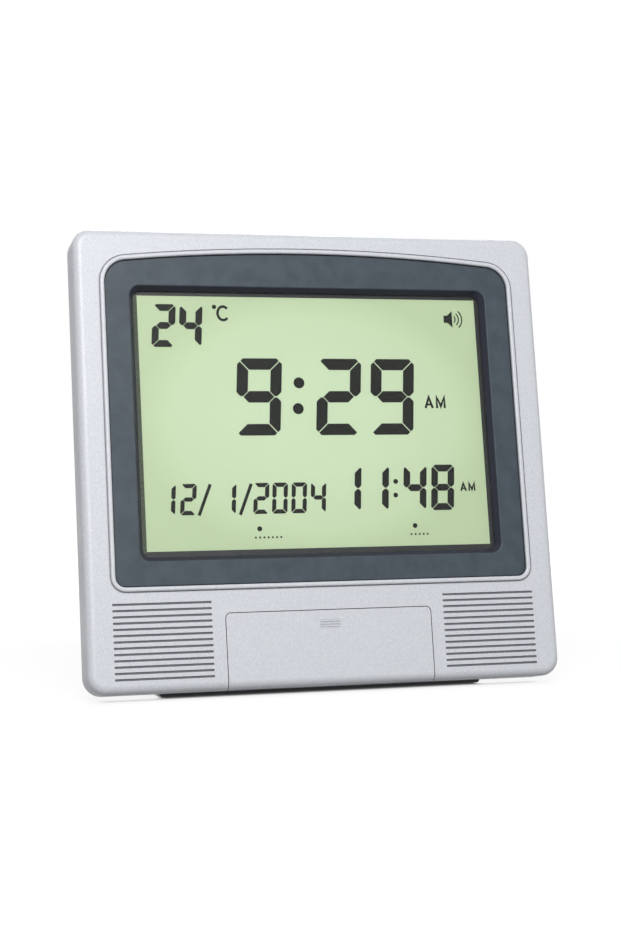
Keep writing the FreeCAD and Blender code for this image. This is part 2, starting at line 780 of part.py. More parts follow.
def make_base_feet():
    """Two rubber pads under the hump's flat base, one at each side."""
    for tag, side in SIDES:
        label = "base_foot_" + tag
        body = new_body(label)
        foot = body.newObject("PartDesign::AdditiveBox", label + "_pad")
        foot.Placement = FreeCAD.Placement(FreeCAD.Vector(), FreeCAD.Rotation(FreeCAD.Vector(1, 0, 0), 1))
        foot.setExpression("Placement.Rotation.Angle", full("lean"))
        foot.setExpression("Length", full("foot_width"))
        foot.setExpression("Width", full("foot_length"))
        foot.setExpression("Height", full("foot_height"))
        bind_place(foot, (side + "foot_x - foot_width/2",
                          "base_start + foot_setback + foot_height*sin(lean)",
                          "base_bottom + foot_setback*tan(lean) - foot_height*cos(lean)"))


# Display


def make_display():
    """Bezel, window, printed mask, glass, light guide, lamp strip, holder and zebra connector."""
    bezel = new_body("display_bezel")
    face_block(bezel, "bezel_plate", arched_outline("(-bezel_gap)"), ("bezel_set_back", "bezel_back"))
    face_block(bezel, "bezel_flange_plate", arched_outline("bezel_flange"), ("skin", "bezel_back"))
    slope = bezel.newObject("PartDesign::SubtractiveLoft", "recess")
    rings = []
    for name, inset, depth in (("front", "0", "bezel_set_back"), ("back", "recess_slope", "bezel_back")):
        ring = new_sketch(bezel, "recess_" + name, "XZ_Plane", "-(%s)" % depth)
        rounded_rectangle("-(recess_width/2 - %s)" % inset, "recess_width/2 - " + inset,
                          "recess_bottom + " + inset, "recess_top - " + inset,
                          "recess_round - %s/2" % inset)(ring)
        rings.append(ring)
    slope.Profile = rings[0]
    slope.Sections = [rings[1]]
    slope.Ruled = True
    bezel.Tip = slope
    round_edges(bezel, "bezel_rounding", slope, "bezel_edge", at_depth("bezel_set_back"))
    for place, (x, z) in enumerate(EAR_SCREWS):
        rod(bezel, "ear_bore_%d" % place, "y", (x, "bezel_back - small_bore_depth", z),
            "small_screw_radius + screw_play", "small_bore_depth", cut=True)

    sheet_x = ("-half_window", "half_window")
    sheet_z = ("window_bottom", "window_top")
    box(new_body("display_window"), "window_sheet", sheet_x, ("bezel_back", "window_back"), sheet_z)
    mask = new_body("window_mask")
    box(mask, "mask_sheet", sheet_x, ("window_back", "mask_back"), sheet_z)
    box(mask, "mask_view", ("-view_width/2", "view_width/2"), ("window_back", "mask_back"),
        ("view_bottom", "view_top"), cut=True)
    box(new_body("lcd_glass"), "glass_sheet", ("-half_glass", "half_glass"), ("mask_back", "glass_back"),
        ("glass_low", "glass_high"))
    box(new_body("light_guide"), "guide_sheet", ("-half_glass", "guide_right"), ("glass_back", "guide_back"),
        ("guide_low", "glass_high"))
    middle = "(glass_low + glass_high)/2"
    box(new_body("backlight_strip"), "strip", ("strip_left", "strip_left + strip_width"),
        ("glass_back", "guide_back"), (middle + " - strip_length/2", middle + " + strip_length/2"))

    holder = new_body("lcd_holder")
    box(holder, "holder_block", ("-half_holder", "half_holder"), ("bezel_back", "holder_end"),
        ("holder_low", "holder_high"))
    for place, (x, z) in enumerate(EAR_SCREWS):
        box(holder, "ear_%d" % place, (x + " - ear_reach/2", x + " + ear_reach/2"),
            ("bezel_back", "bezel_back + ear_thickness"),
            (z + " - ear_height/2", z + " + ear_height/2"))
        rod(holder, "ear_hole_%d" % place, "y", (x, "bezel_back", z), "small_screw_radius + screw_play",
            "ear_thickness", cut=True)
    box(holder, "holder_pocket", ("-half_window - pocket_play", "half_window + pocket_play"),
        ("bezel_back", "guide_back"), ("window_bottom - pocket_play", "window_top + pocket_play"), cut=True)
    box(holder, "holder_back_hole", ("-half_back_hole", "half_back_hole"), ("guide_back", "holder_end"),
        ("glass_low", "window_top - holder_lip"), cut=True)
    for place, (x, z) in enumerate(BOARD_SCREWS):
        rod(holder, "board_bore_%d" % place, "y", (x, "holder_end - board_bore_depth", z),
            "small_screw_radius + screw_play", "board_bore_depth", cut=True)
    make_screws("display_screws", EAR_SCREWS, "small_screw_radius", "bezel_back + ear_thickness",
                "(ear_thickness + small_screw_grip)", "small_head_radius", "small_head_height")
    box(new_body("zebra_connector"), "zebra_strip", ("-connector_half", "connector_half"),
        ("glass_back", "board_front"), ("connector_low", "connector_low + connector_height"))


def make_main_board():
    """Circuit board with its chip, crystal, capacitors and temperature sensor."""
    board = new_body("main_board")
    box(board, "board_sheet", ("-board_half", "board_half"), ("board_front", "board_back"),
        ("board_low", "board_high"))
    for place, (x, z) in enumerate(BOARD_SCREWS):
        rod(board, "board_hole_%d" % place, "y", (x, "board_front", z), "small_screw_radius + screw_play",
            "board_thickness", cut=True)
    make_screws("board_screws", BOARD_SCREWS, "small_screw_radius", "board_back",
                "(board_thickness + board_screw_grip)", "small_head_radius", "small_head_height")
    box(new_body("processor_chip"), "chip", ("chip_x - chip_size/2", "chip_x + chip_size/2"),
        ("board_back", "board_back + chip_height"), ("chip_z - chip_size/2", "chip_z + chip_size/2"))
    rod(new_body("quartz_crystal"), "crystal", "x",
        ("chip_x + chip_size", "board_back + crystal_radius", "chip_z"), "crystal_radius", "crystal_length")
    cans = new_body("board_capacitors")
    for place in range(int(value("capacitor_count"))):
        x = "capacitor_x - %d*capacitor_pitch" % place
        rod(cans, "can_%d" % place, "y", (x, "board_back", "capacitor_z"), "capacitor_radius",
            "capacitor_length")
    rod(new_body("temperature_sensor"), "bead", "y", ("sensor_x", "board_back", "board_low + sensor_up"),
        "sensor_radius", "sensor_length")


def make_speaker(side, label):
    """Round loudspeaker behind one grille: steel basket, paper cone and magnet."""
    x = side + "speaker_x"
    basket = new_body(label + "_basket")
    back = "skin + speaker_flange"
    rod(basket, "flange", "y", (x, "skin", "speaker_z"), "speaker_radius", "speaker_flange")
    cone(basket, "bowl", "y", (x, back, "speaker_z"), "bowl_radius", "speaker_neck", "speaker_bowl")
    cone(basket, "bowl_hollow", "y", (x, "skin", "speaker_z"), "bowl_radius - sheet_steel",
         "speaker_neck - sheet_steel", "speaker_flange + speaker_bowl - sheet_steel", cut=True)
    rod(basket, "cone_seat", "y", (x, "skin", "speaker_z"), "cone_radius", "cone_seat", cut=True)
    paper = new_body(label + "_cone")
    front = "skin + cone_gap"
    rim = "cone_radius - surround_width"
    rod(paper, "surround", "y", (x, front, "speaker_z"), "cone_radius - cone_gap", "surround_thickness")
    cone(paper, "paper", "y", (x, front + " + surround_thickness", "speaker_z"), rim, "speaker_neck/2",
         "speaker_bowl - cone_short")
    cone(paper, "paper_hollow", "y", (x, front, "speaker_z"), rim + " - paper_thickness",
         "speaker_neck/2 - paper_thickness", "speaker_bowl - cone_short", cut=True)
    rod(new_body(label + "_magnet"), "magnet", "y", (x, back + " + speaker_bowl", "speaker_z"),
        "magnet_radius", "magnet_depth")


# Flap door and controls


def make_flap_door():
    """Silver flap that opens forward about a rolled lower edge."""
    body = new_body("flap_door")
    box(body, "panel", ("-half_door", "half_door"), ("0", "door_thickness"), ("roll_z", "door_top"))
    rod(body, "roll", "x", ("-half_door", "roll_y", "roll_z"), "face_round", "door_width")
    rod(body, "roll_hollow", "x", ("-half_door", "roll_y", "roll_z"), "roll_inner", "door_width", cut=True)
    box(body, "roll_top", ("-half_door", "half_door"), ("door_thickness", "roll_y + face_round + overlap"),
        ("roll_z", "roll_z + face_round + overlap"), cut=True)
    for tag, start in (("left", "-half_door"), ("right", "half_door - knuckle_length")):
        rod(body, "knuckle_" + tag, "x", (start, "roll_y", "roll_z"), "knuckle_radius", "knuckle_length")
        rod(body, "pin_bore_" + tag, "x", (start, "roll_y", "roll_z"), "pin_radius + pin_play",
            "knuckle_length", cut=True)
    striker = box(body, "striker", ("-striker_width/2", "striker_width/2"),
                  ("door_thickness", "door_thickness + striker_depth"),
                  ("latch_z - striker_height/2", "latch_z + striker_height/2"))
    round_edges(body, "door_corners", striker, "door_round", top_corners("door_top", "half_door"))
    ridge = box(body, "ridge", ("-ridge_length/2", "ridge_length/2"), ("-ridge_proud", "door_thickness/2"),
                ("ridge_low", "ridge_low + ridge_height"))
    pattern = body.newObject("PartDesign::LinearPattern", "ridges")
    pattern.Originals = [ridge]
    pattern.Direction = (origin_item(body, "Z_Axis"), [""])
    pattern.setExpression("Length", full("ridge_pitch*(ridge_count - 1)"))
    pattern.setExpression("Occurrences", full("ridge_count"))
    body.Tip = pattern

    pins = new_body("door_hinge_pins")
    for tag, start in (("left", "-(half_door - pin_grip) - pin_length"), ("right", "half_door - pin_grip")):
        rod(pins, "pin_" + tag, "x", (start, "roll_y", "roll_z"), "pin_radius", "pin_length")


def key_centres():
    """List each key's centre as formulas, row by row from the lower left."""
    columns = int(value("key_columns"))
    rows = int(value("key_rows"))
    return [("(%s)*key_pitch_x" % (column - (columns - 1)/2), "(key_row_low + %d*key_pitch_z)" % row)
            for row in range(rows) for column in range(columns)]


def key_outline(x, z, grow):
    """Give a function that draws one key's outline, grown all round."""
    return rounded_rectangle("%s - key_width/2 - %s" % (x, grow), "%s + key_width/2 + %s" % (x, grow),
                             "%s - key_height/2 - %s" % (z, grow), "%s + key_height/2 + %s" % (z, grow),
                             "key_round + " + grow)


def make_control_tray():
    """Dark tray behind the flap: key plate, hinge bosses and posts for the key board."""
    body = new_body("control_tray")
    box(body, "tray_block", ("-tray_half", "tray_half"), ("tray_front", "tray_back"),
        ("tray_low", "tray_top"))
    for tag, x in (("left", ("-half_doorway - boss_length", "-half_doorway")),
                   ("right", ("half_doorway", "half_doorway + boss_length"))):
        box(body, "hinge_boss_" + tag, x, ("tray_front", "roll_y + knuckle_radius"),
            ("tray_low", "roll_z + knuckle_radius"))
    for tag, x in (("left", "-post_x"), ("right", "post_x")):
        rod(body, "post_" + tag, "y", (x, "tray_back", "post_z"), "post_radius", "keyboard_front - tray_back")
        rod(body, "post_bore_" + tag, "y", (x, "keyboard_front - small_bore_depth", "post_z"),
            "small_screw_radius + screw_play", "small_bore_depth", cut=True)
    box(body, "tray_hollow", ("-tray_in_half", "tray_in_half"), ("tray_front", "tray_face"),
        ("floor_low", "tray_in_top"), cut=True)
    box(body, "roll_space", ("-half_doorway", "half_doorway"), ("tray_front", "tray_back"),
        ("tray_low", "floor_low"), cut=True)
    for tag, start in (("left", "-half_doorway - boss_length"), ("right", "half_doorway")):
        rod(body, "hinge_bore_" + tag, "x", (start, "roll_y", "roll_z"), "pin_radius", "boss_length",
            cut=True)
    for place, (x, z) in enumerate(key_centres()):
        face_block(body, "key_hole_%d" % place, key_outline(x, z, "key_play"), ("tray_face", "tray_back"),
                   cut=True)
    box(body, "latch_hole", ("-latch_width/2 - latch_play", "latch_width/2 + latch_play"),
        ("tray_face", "tray_back"),
        ("latch_z - latch_height/2 - latch_play", "latch_z + latch_height/2 + latch_play"), cut=True)


def make_keys():
    """Push keys, the rubber sheet behind them and the key board."""
    for place, (x, z) in enumerate(key_centres(), start=1):
        key = new_body("key_%d" % place)
        cap = face_block(key, "cap", key_outline(x, z, "0"), ("key_front", "key_flange_front"))
        round_edges(key, "cap_rounding", cap, "key_edge", at_depth("key_front"))
        box(key, "retainer", (x + " - key_width/2 - key_flange_edge", x + " + key_width/2 + key_flange_edge"),
            ("key_flange_front", "key_flange_back"),
            (z + " - key_height/2 - key_flange_edge", z + " + key_height/2 + key_flange_edge"))
    notch_x = ("-latch_width/2 - latch_notch", "latch_width/2 + latch_notch")
    notch_z = ("latch_z - latch_height/2 - latch_notch", "keyboard_high")
    for label, half, front, back in (("rubber_keypad", "keypad_half", "keypad_front", "keyboard_front"),
                                     ("key_board", "keyboard_half", "keyboard_front", "keyboard_back")):
        sheet = new_body(label)
        box(sheet, "sheet", ("-" + half, half), (front, back), ("keyboard_low", "keyboard_high"))
        box(sheet, "latch_notch", notch_x, (front, back), notch_z, cut=True)
        if label == "key_board":
            for tag, x in (("left", "-post_x"), ("right", "post_x")):
                rod(sheet, "screw_hole_" + tag, "y", (x, front, "post_z"), "small_screw_radius + screw_play",
                    "board_thickness", cut=True)
    make_screws("key_board_screws", [("-post_x", "post_z"), ("post_x", "post_z")], "small_screw_radius",
                "keyboard_back", "(board_thickness + small_screw_grip)", "small_head_radius",
                "small_head_height")


def make_latch():
    """Spring catch that meets the flap's striker."""
    case = new_body("latch_case")
    box(case, "case", ("-latch_width/2", "latch_width/2"), ("latch_front", "latch_back"),
        ("latch_z - latch_height/2", "latch_z + latch_height/2"))
    box(case, "bore", ("-plunger_width/2 - plunger_play", "plunger_width/2 + plunger_play"),
        ("latch_front", "plunger_back + plunger_travel + plunger_room"),
        ("latch_z - plunger_height/2 - plunger_play", "latch_z + plunger_height/2 + plunger_play"), cut=True)
    box(new_body("latch_plunger"), "plunger", ("-plunger_width/2", "plunger_width/2"),
        ("plunger_front", "plunger_back"),
        ("latch_z - plunger_height/2", "latch_z + plunger_height/2"))


# Batteries and stand


def make_batteries():
    """Cells laid across the bay with poles alternating, springs, contact plates and the sliding cover."""
    springs = new_body("battery_springs")
    plates = new_body("battery_contacts")
    narrow = "spring_radius*spring_taper"
    for place in range(int(value("cell_count"))):
        z = "(bay_bottom + cell_gap + cell_radius + %d*(2*cell_radius + cell_gap))" % place
        y = "(bay_floor + cell_radius)"
        cell = new_body("battery_%d" % (place + 1))
        if place % 2 == 0:
            can_start = "bay_left + spring_length"
            pole_start = "bay_left + spring_length + cell_length"
            spring_start, spring_ends = "bay_left", ("spring_radius", narrow)
            plate_start = "bay_right - contact_thickness"
        else:
            can_start = "bay_right - spring_length - cell_length"
            pole_start = "bay_left + contact_thickness"
            spring_start, spring_ends = "bay_right - spring_length", (narrow, "spring_radius")
            plate_start = "bay_left"
        rod(cell, "can", "x", (can_start, y, z), "cell_radius", "cell_length")
        rod(cell, "pole", "x", (pole_start, y, z), "nub_radius", "nub_length")
        cone(springs, "spring_%d" % place, "x", (spring_start, y, z), *spring_ends, "spring_length")
        box(plates, "plate_%d" % place, (plate_start, plate_start + " + contact_thickness"),
            (y + " - contact_width/2", y + " + contact_width/2"),
            (z + " - contact_width/2", z + " + contact_width/2"))

    cover = new_body("battery_cover")
    cover_x = ("cover_left + cover_play", "base_half")
    box(cover, "panel", cover_x, ("cover_front", "hump_depth"),
        ("cover_low + cover_play", "cover_high - cover_play"))
    box(cover, "tongues", cover_x, ("tongue_front", "tongue_back"),
        ("cover_low + cover_play - tongue_height", "cover_high - cover_play + tongue_height"))
    middle = "(bay_bottom + bay_top)/2"
    grip = box(cover, "grip", ("grip_start", "grip_start + grip_width"),
               ("hump_depth - grip_depth", "hump_depth"),
               (middle + " - grip_height/2", middle + " + grip_height/2"), cut=True)
    pattern = cover.newObject("PartDesign::LinearPattern", "grips")
    pattern.Originals = [grip]
    pattern.Direction = (origin_item(cover, "X_Axis"), [""])
    pattern.Reversed = True
    pattern.setExpression("Length", full("grip_pitch*(grip_count - 1)"))
    pattern.setExpression("Occurrences", full("grip_count"))
    cover.Tip = pattern


def make_stand():
    """Fold-out leg with ribs, its rubber edge and two pivot pins. The leg is drawn folded, then swung out."""
    leg = new_body("stand_leg")
    box(leg, "leg_plate", ("-stand_half", "stand_half"), ("leg_front", "leg_back"), ("leg_low", "stand_z"))
    rod(leg, "leg_eye", "x", ("-stand_half", "stand_y", "stand_z"), "stand_thickness/2", "stand_width")
    for place in range(int(value("stand_bays"))):
        start = "-stand_half + stand_rib + %d*(stand_width - stand_rib)/stand_bays" % place
        box(leg, "leg_pocket_%d" % place,
            (start, start + " + (stand_width - (stand_bays + 1)*stand_rib)/stand_bays"),
            ("leg_front", "leg_back - stand_skin"),
            ("leg_low + 2*stand_rib", "stand_z - stand_thickness - stand_rib"), cut=True)
    for tag, start in (("left", "-stand_half"), ("right", "stand_half - pin_hold")):
        rod(leg, "leg_bore_" + tag, "x", (start, "stand_y", "stand_z"), "stand_pin_radius + pin_play",
            "pin_hold", cut=True)
    pad = new_body("stand_pad")
    rod(pad, "pad_round", "x", ("-stand_half + stand_play", "stand_y", "leg_low"), "stand_thickness/2",
        "stand_width - 2*stand_play")
    box(pad, "pad_flat", ("-stand_half", "stand_half"),
        ("stand_y - stand_thickness", "stand_y + stand_thickness"),
        ("leg_low", "leg_low + stand_thickness"), cut=True)
    pins = new_body("stand_pins")
    for tag, start in (("left", "-stand_well - bay_wall"),
                       ("right", "stand_well + bay_wall - stand_pin_length")):
        rod(pins, "pin_" + tag, "x", (start, "stand_y", "stand_z"), "stand_pin_radius", "stand_pin_length")
    hinge = FreeCAD.Vector(0, value("stand_y"), value("stand_z"))
    swing = FreeCAD.Rotation(FreeCAD.Vector(1, 0, 0), value("stand_angle"))
    for body in (leg, pad):
        OWN_TURN[body.Name] = FreeCAD.Placement(FreeCAD.Vector(), swing, hinge)


make_front_housing()
make_display()
make_main_board()
for tag, side in SIDES:
    make_speaker(side, "speaker_" + tag)
make_flap_door()
make_control_tray()
make_keys()
make_latch()
make_rear_housing()
make_base_feet()
make_batteries()
make_stand()
make_screws("case_screws", CASE_SCREWS, "screw_radius", "plate_back", "screw_reach", "head_radius",
            "head_height")
doc.recompute()

# Lean the clock back on the table plane and centre it there

lean_back = FreeCAD.Placement(FreeCAD.Vector(0, 0, value("lift")),
                              FreeCAD.Rotation(FreeCAD.Vector(1, 0, 0), -value("lean")))
for node in NODES:
    node.Placement = lean_back.multiply(OWN_TURN.get(node.Name, FreeCAD.Placement()))
bounds = [node.Shape.optimalBoundingBox() for node in NODES]
shift = -(min(item.YMin for item in bounds) + max(item.YMax for item in bounds))/2
for node in NODES:
    place = node.Placement
    place.Base.y += shift
    node.Placement = place

# Check every object and piece, then write the pieces

problems = [item.Name + ": " + ", ".join(item.State) for item in doc.Objects
            if "Invalid" in item.State or "Error" in item.State]
problems += [node.Label + ": bad shape" for node in NODES if node.Shape.isNull() or not node.Shape.isValid()]
if problems:
    raise RuntimeError("; ".join(problems))
for node in NODES:
    node.Shape.exportStep("parts/%s.step" % node.Label)
print("pieces %d, depth shift %.4f, lift %.4f" % (len(NODES), shift, value("lift")))
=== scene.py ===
import math

import bmesh
import bpy
from mathutils import Matrix, Vector


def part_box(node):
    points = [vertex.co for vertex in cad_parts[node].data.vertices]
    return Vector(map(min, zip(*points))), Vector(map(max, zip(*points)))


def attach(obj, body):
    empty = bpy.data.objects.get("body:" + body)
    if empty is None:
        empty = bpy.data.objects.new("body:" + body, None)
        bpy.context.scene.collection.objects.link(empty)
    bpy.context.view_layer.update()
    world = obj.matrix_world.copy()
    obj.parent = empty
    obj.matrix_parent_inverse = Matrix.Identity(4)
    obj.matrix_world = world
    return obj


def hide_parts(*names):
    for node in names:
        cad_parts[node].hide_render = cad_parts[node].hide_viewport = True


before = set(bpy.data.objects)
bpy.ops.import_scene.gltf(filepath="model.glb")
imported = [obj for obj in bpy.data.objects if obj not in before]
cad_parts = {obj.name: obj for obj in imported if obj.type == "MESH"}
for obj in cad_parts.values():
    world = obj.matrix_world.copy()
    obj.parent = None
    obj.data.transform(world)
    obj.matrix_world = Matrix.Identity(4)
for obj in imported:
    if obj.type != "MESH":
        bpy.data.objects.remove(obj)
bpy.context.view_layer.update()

# The clock is worked out upright, in millimetres: across from its middle, deep from its face, and up.
# It stands leaned back, and the display glass says where.

LEAN = math.radians(9)
GLASS_FRONT = 6.3
GLASS_BACK = 9.1
GLASS_FOOT = 78.65
MILLIMETRE = 0.001

glass_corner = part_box("lcd_glass")[0]/MILLIMETRE
STANDING = (Matrix.Scale(MILLIMETRE, 4)
            @ Matrix.Translation((0, glass_corner.y - GLASS_FRONT*math.cos(LEAN) - GLASS_FOOT*math.sin(LEAN),
                                  glass_corner.z + GLASS_BACK*math.sin(LEAN) - GLASS_FOOT*math.cos(LEAN)))
            @ Matrix.Rotation(-LEAN, 4, "X"))
UPRIGHT = STANDING.inverted()
INWARD = (STANDING.to_3x3() @ Vector((0, 1, 0))).normalized()
FACE = INWARD.dot(STANDING.translation)


# Finishes


def linear(code):
    """An sRGB hex colour as the linear colour that a shader takes."""
    parts = [int(code[place:place + 2], 16)/255 for place in (1, 3, 5)]
    return tuple(part/12.92 if part <= 0.04045 else ((part + 0.055)/1.055)**2.4 for part in parts) + (1.0,)


def per_metre(size):
    """The texture scale at which one cell of a pattern is this many millimetres."""
    return 1/(size*MILLIMETRE)


def add(finish, kind, inputs=None, stops=(), **settings):
    """Add a node of one kind with its settings, and set or link its inputs. Stops are a ramp's places and
    colours."""
    made = finish.node_tree.nodes.new("ShaderNode" + kind)
    for name, setting in settings.items():
        setattr(made, name, setting)
    for place, (at, colour) in enumerate(stops):
        stop = made.color_ramp.elements[place] if place < 2 else made.color_ramp.elements.new(at)
        stop.position = at
        stop.color = linear(colour) if isinstance(colour, str) else (colour, colour, colour, 1.0)
    for name, source in (inputs or {}).items():
        if isinstance(source, bpy.types.NodeSocket):
            finish.node_tree.links.new(source, made.inputs[name])
        else:
            made.inputs[name].default_value = source
    return made


def new_finish(name):
    """Start an empty material."""
    finish = bpy.data.materials.new(name)
    finish.use_nodes = True
    finish.node_tree.nodes.clear()
    return finish


def close(finish, shader):
    """Send a shader to the material's surface."""
    add(finish, "OutputMaterial", {"Surface": shader})
    return finish


def moulded(name, dark, light, patch, texture, relief, roughness, crevice=1.2, painted_recess_shade=None, **shader):
    """A moulded, cast or lacquered surface: two close shades in soft patches, a fine raised texture,
    duller and shinier places, and a little shade gathered in its seams. Sizes are in millimetres.
    For painted shade down a recess, a second, matt colour is given with the two depths behind the clock's
    face between which it takes over."""
    finish = new_finish(name)
    spot = add(finish, "TexCoord").outputs["Object"]
    patches = add(finish, "TexNoise", {"Vector": spot, "Scale": per_metre(patch), "Detail": 4.0})
    shade = add(finish, "ValToRGB", {"Fac": patches.outputs["Fac"]}, stops=((0.36, dark), (0.64, light)))
    # Painted shade: the colour darkens in seams and creases within the crevice distance.
    painted_seam_shade = add(finish, "AmbientOcclusion", {"Color": shade.outputs["Color"], "Distance": crevice*MILLIMETRE},
                samples=4)
    colour = painted_seam_shade.outputs["Color"]
    # Painted shade down a recess: past the given depths the colour turns to the second, matt one and loses
    # most of its shine.
    if painted_recess_shade:
        depth = add(finish, "VectorMath", {0: spot, 1: INWARD}, operation="DOT_PRODUCT")
        recess_shade_colour, start, end = painted_recess_shade
        share = add(finish, "MapRange", {"Value": depth.outputs["Value"],
                                         "From Min": FACE + start*MILLIMETRE,
                                         "From Max": FACE + end*MILLIMETRE})
        colour = add(finish, "Mix", {0: share.outputs["Result"], 6: colour, 7: linear(recess_shade_colour)},
                     data_type="RGBA").outputs[2]
        shine = add(finish, "MapRange", {"Value": share.outputs["Result"], "To Min": 0.3, "To Max": 0.1})
        shader["Specular_IOR_Level"] = shine.outputs["Result"]
    grit = add(finish, "TexNoise", {"Vector": spot, "Scale": per_metre(texture), "Detail": 2.0})
    relief_map = add(finish, "Bump", {"Height": grit.outputs["Fac"], "Distance": relief*MILLIMETRE,
                                      "Strength": 1.0})
    worn = add(finish, "TexNoise", {"Vector": spot, "Scale": per_metre(patch*2.5), "Detail": 2.0})
    gloss = add(finish, "MapRange", {"Value": worn.outputs["Fac"], "From Min": 0.3, "From Max": 0.7,
                                     "To Min": roughness - 0.05, "To Max": roughness + 0.05})
    extra = {key.replace("_", " "): setting for key, setting in shader.items()}
    surface = add(finish, "BsdfPrincipled", {"Base Color": colour, "Roughness": gloss.outputs["Result"],
                                             "Normal": relief_map.outputs["Normal"], **extra})
    return close(finish, surface.outputs["BSDF"])


def silver_lacquer():
    """Silver lacquer sprayed on moulded ABS: pale grey with metal flakes whose glints are painted into its
    colour, cell by cell.
    Real flakes are 0.03 mm, so they are drawn 0.6 mm wide here, as coarse as they need to be to show."""
    finish = new_finish("silver_lacquer_on_moulded_abs")
    spot = add(finish, "TexCoord").outputs["Object"]
    flakes = add(finish, "TexVoronoi", {"Vector": spot, "Scale": per_metre(0.6)})
    # Painted glints: flake cells coloured from darker to lighter.
    painted_flake_glints = add(finish, "ValToRGB", {"Fac": flakes.outputs["Color"]},
                  stops=((0.1, "#cacdd3"), (0.55, "#d2d5db"), (0.92, "#dadde2")))
    # Painted shade: the colour darkens in grooves and seams.
    painted_seam_shade = add(finish, "AmbientOcclusion", {"Color": painted_flake_glints.outputs["Color"], "Distance": 1.6*MILLIMETRE},
                samples=6)
    orange_peel = add(finish, "TexNoise", {"Vector": spot, "Scale": per_metre(0.7), "Detail": 3.0})
    relief = add(finish, "Bump", {"Height": orange_peel.outputs["Fac"], "Distance": 0.03*MILLIMETRE,
                                  "Strength": 1.0})
    haze = add(finish, "TexNoise", {"Vector": spot, "Scale": per_metre(35), "Detail": 2.0})
    gloss = add(finish, "MapRange", {"Value": haze.outputs["Fac"], "From Min": 0.3, "From Max": 0.7,
                                     "To Min": 0.38, "To Max": 0.47})
    surface = add(finish, "BsdfPrincipled", {"Base Color": painted_seam_shade.outputs["Color"], "Metallic": 0.04,
                                             "Roughness": gloss.outputs["Result"], "IOR": 1.5,
                                             "Normal": relief.outputs["Normal"]})
    return close(finish, surface.outputs["BSDF"])


def clear_acrylic():
    """Hard-coated clear acrylic sheet, cast and polished: it shows what is behind it with a faint sheen."""
    finish = new_finish("hard_coated_clear_acrylic")
    spot = add(finish, "TexCoord").outputs["Object"]
    wiped = add(finish, "TexNoise", {"Vector": spot, "Scale": per_metre(30), "Detail": 3.0})
    smear = add(finish, "MapRange", {"Value": wiped.outputs["Fac"], "To Min": 0.02, "To Max": 0.09})
    see = add(finish, "BsdfTransparent", {"Color": linear("#f9fbf8")})
    shine = add(finish, "BsdfGlossy", {"Color": linear("#ffffff"), "Roughness": smear.outputs["Result"]})
    bounce = add(finish, "Fresnel", {"IOR": 1.49})
    coating = add(finish, "Math", {0: bounce.outputs["Fac"], 1: 0.3}, operation="MULTIPLY")
    both = add(finish, "MixShader", {"Fac": coating.outputs["Value"], 1: see.outputs["BSDF"],
                                     2: shine.outputs["BSDF"]})
    return close(finish, both.outputs["Shader"])


def liquid_crystal_panel():
    """Liquid crystal glass with a green-grey reflector film behind it, and a soft painted glow of its own:
    an even pale green with painted shade that darkens and warms it a little towards the edges, and the film's
    fine grain."""
    finish = new_finish("liquid_crystal_glass_on_reflector_film")
    low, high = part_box("lcd_glass")
    middle = (low + high)/2
    half = (high - low)/2
    spot = add(finish, "TexCoord").outputs["Object"]
    offset = add(finish, "VectorMath", {0: spot, 1: middle}, operation="SUBTRACT")
    share = add(finish, "VectorMath", {0: offset.outputs["Vector"], 1: (1/half.x, 0.0, 1/half.z)},
                operation="MULTIPLY")
    reach = add(finish, "VectorMath", {0: share.outputs["Vector"]}, operation="LENGTH")
    # Painted shade: the colour darkens and warms towards the panel's edges.
    glow_and_painted_shade = add(finish, "ValToRGB", {"Fac": reach.outputs["Value"]},
               stops=((0.35, "#c6d4b9"), (0.8, "#c1cfb2"), (1.0, "#b7c5a6")))
    grain = add(finish, "TexNoise", {"Vector": spot, "Scale": per_metre(0.8), "Detail": 2.0})
    speckle = add(finish, "ValToRGB", {"Fac": grain.outputs["Fac"]}, stops=((0.3, 0.955), (0.7, 1.0)))
    film = add(finish, "Mix", {0: 1.0, 6: glow_and_painted_shade.outputs["Color"], 7: speckle.outputs["Color"]},
               data_type="RGBA", blend_type="MULTIPLY")
    # Painted glow: the panel emits its own colour.
    surface = add(finish, "BsdfPrincipled", {"Base Color": film.outputs[2], "Roughness": 0.35, "IOR": 1.52,
                                             "Emission Color": film.outputs[2], "Emission Strength": 0.3})
    return close(finish, surface.outputs["BSDF"])


def metal(name, dark, light, brush, roughness):
    """A plated or drawn metal: bright, with fine marks that cloud its shine. Their size is in millimetres."""
    finish = new_finish(name)
    spot = add(finish, "TexCoord").outputs["Object"]
    marks = add(finish, "TexNoise", {"Vector": spot, "Scale": per_metre(brush), "Detail": 5.0})
    shade = add(finish, "ValToRGB", {"Fac": marks.outputs["Fac"]}, stops=((0.3, dark), (0.7, light)))
    gloss = add(finish, "MapRange", {"Value": marks.outputs["Fac"], "From Min": 0.3, "From Max": 0.7,
                                     "To Min": roughness - 0.07, "To Max": roughness + 0.07})
    scratches = add(finish, "Bump", {"Height": marks.outputs["Fac"], "Distance": 0.01*MILLIMETRE})
    surface = add(finish, "BsdfPrincipled", {"Base Color": shade.outputs["Color"], "Metallic": 1.0,
                                             "Roughness": gloss.outputs["Result"],
                                             "Normal": scratches.outputs["Normal"]})
    return close(finish, surface.outputs["BSDF"])


def circuit_board():
    """Glass-fibre board under green solder mask: copper tracks show through it as paler lines."""
    finish = new_finish("glass_fibre_board_with_green_solder_mask")
    spot = add(finish, "TexCoord").outputs["Object"]
    tracks = add(finish, "TexBrick", {"Vector": spot, "Scale": per_metre(6), "Mortar Size": 0.05,
                                      "Color1": linear("#0f4a2b"), "Color2": linear("#125232"),
                                      "Mortar": linear("#2c7a4c")})
    surface = add(finish, "BsdfPrincipled", {"Base Color": tracks.outputs["Color"], "Roughness": 0.3})
    return close(finish, surface.outputs["BSDF"])


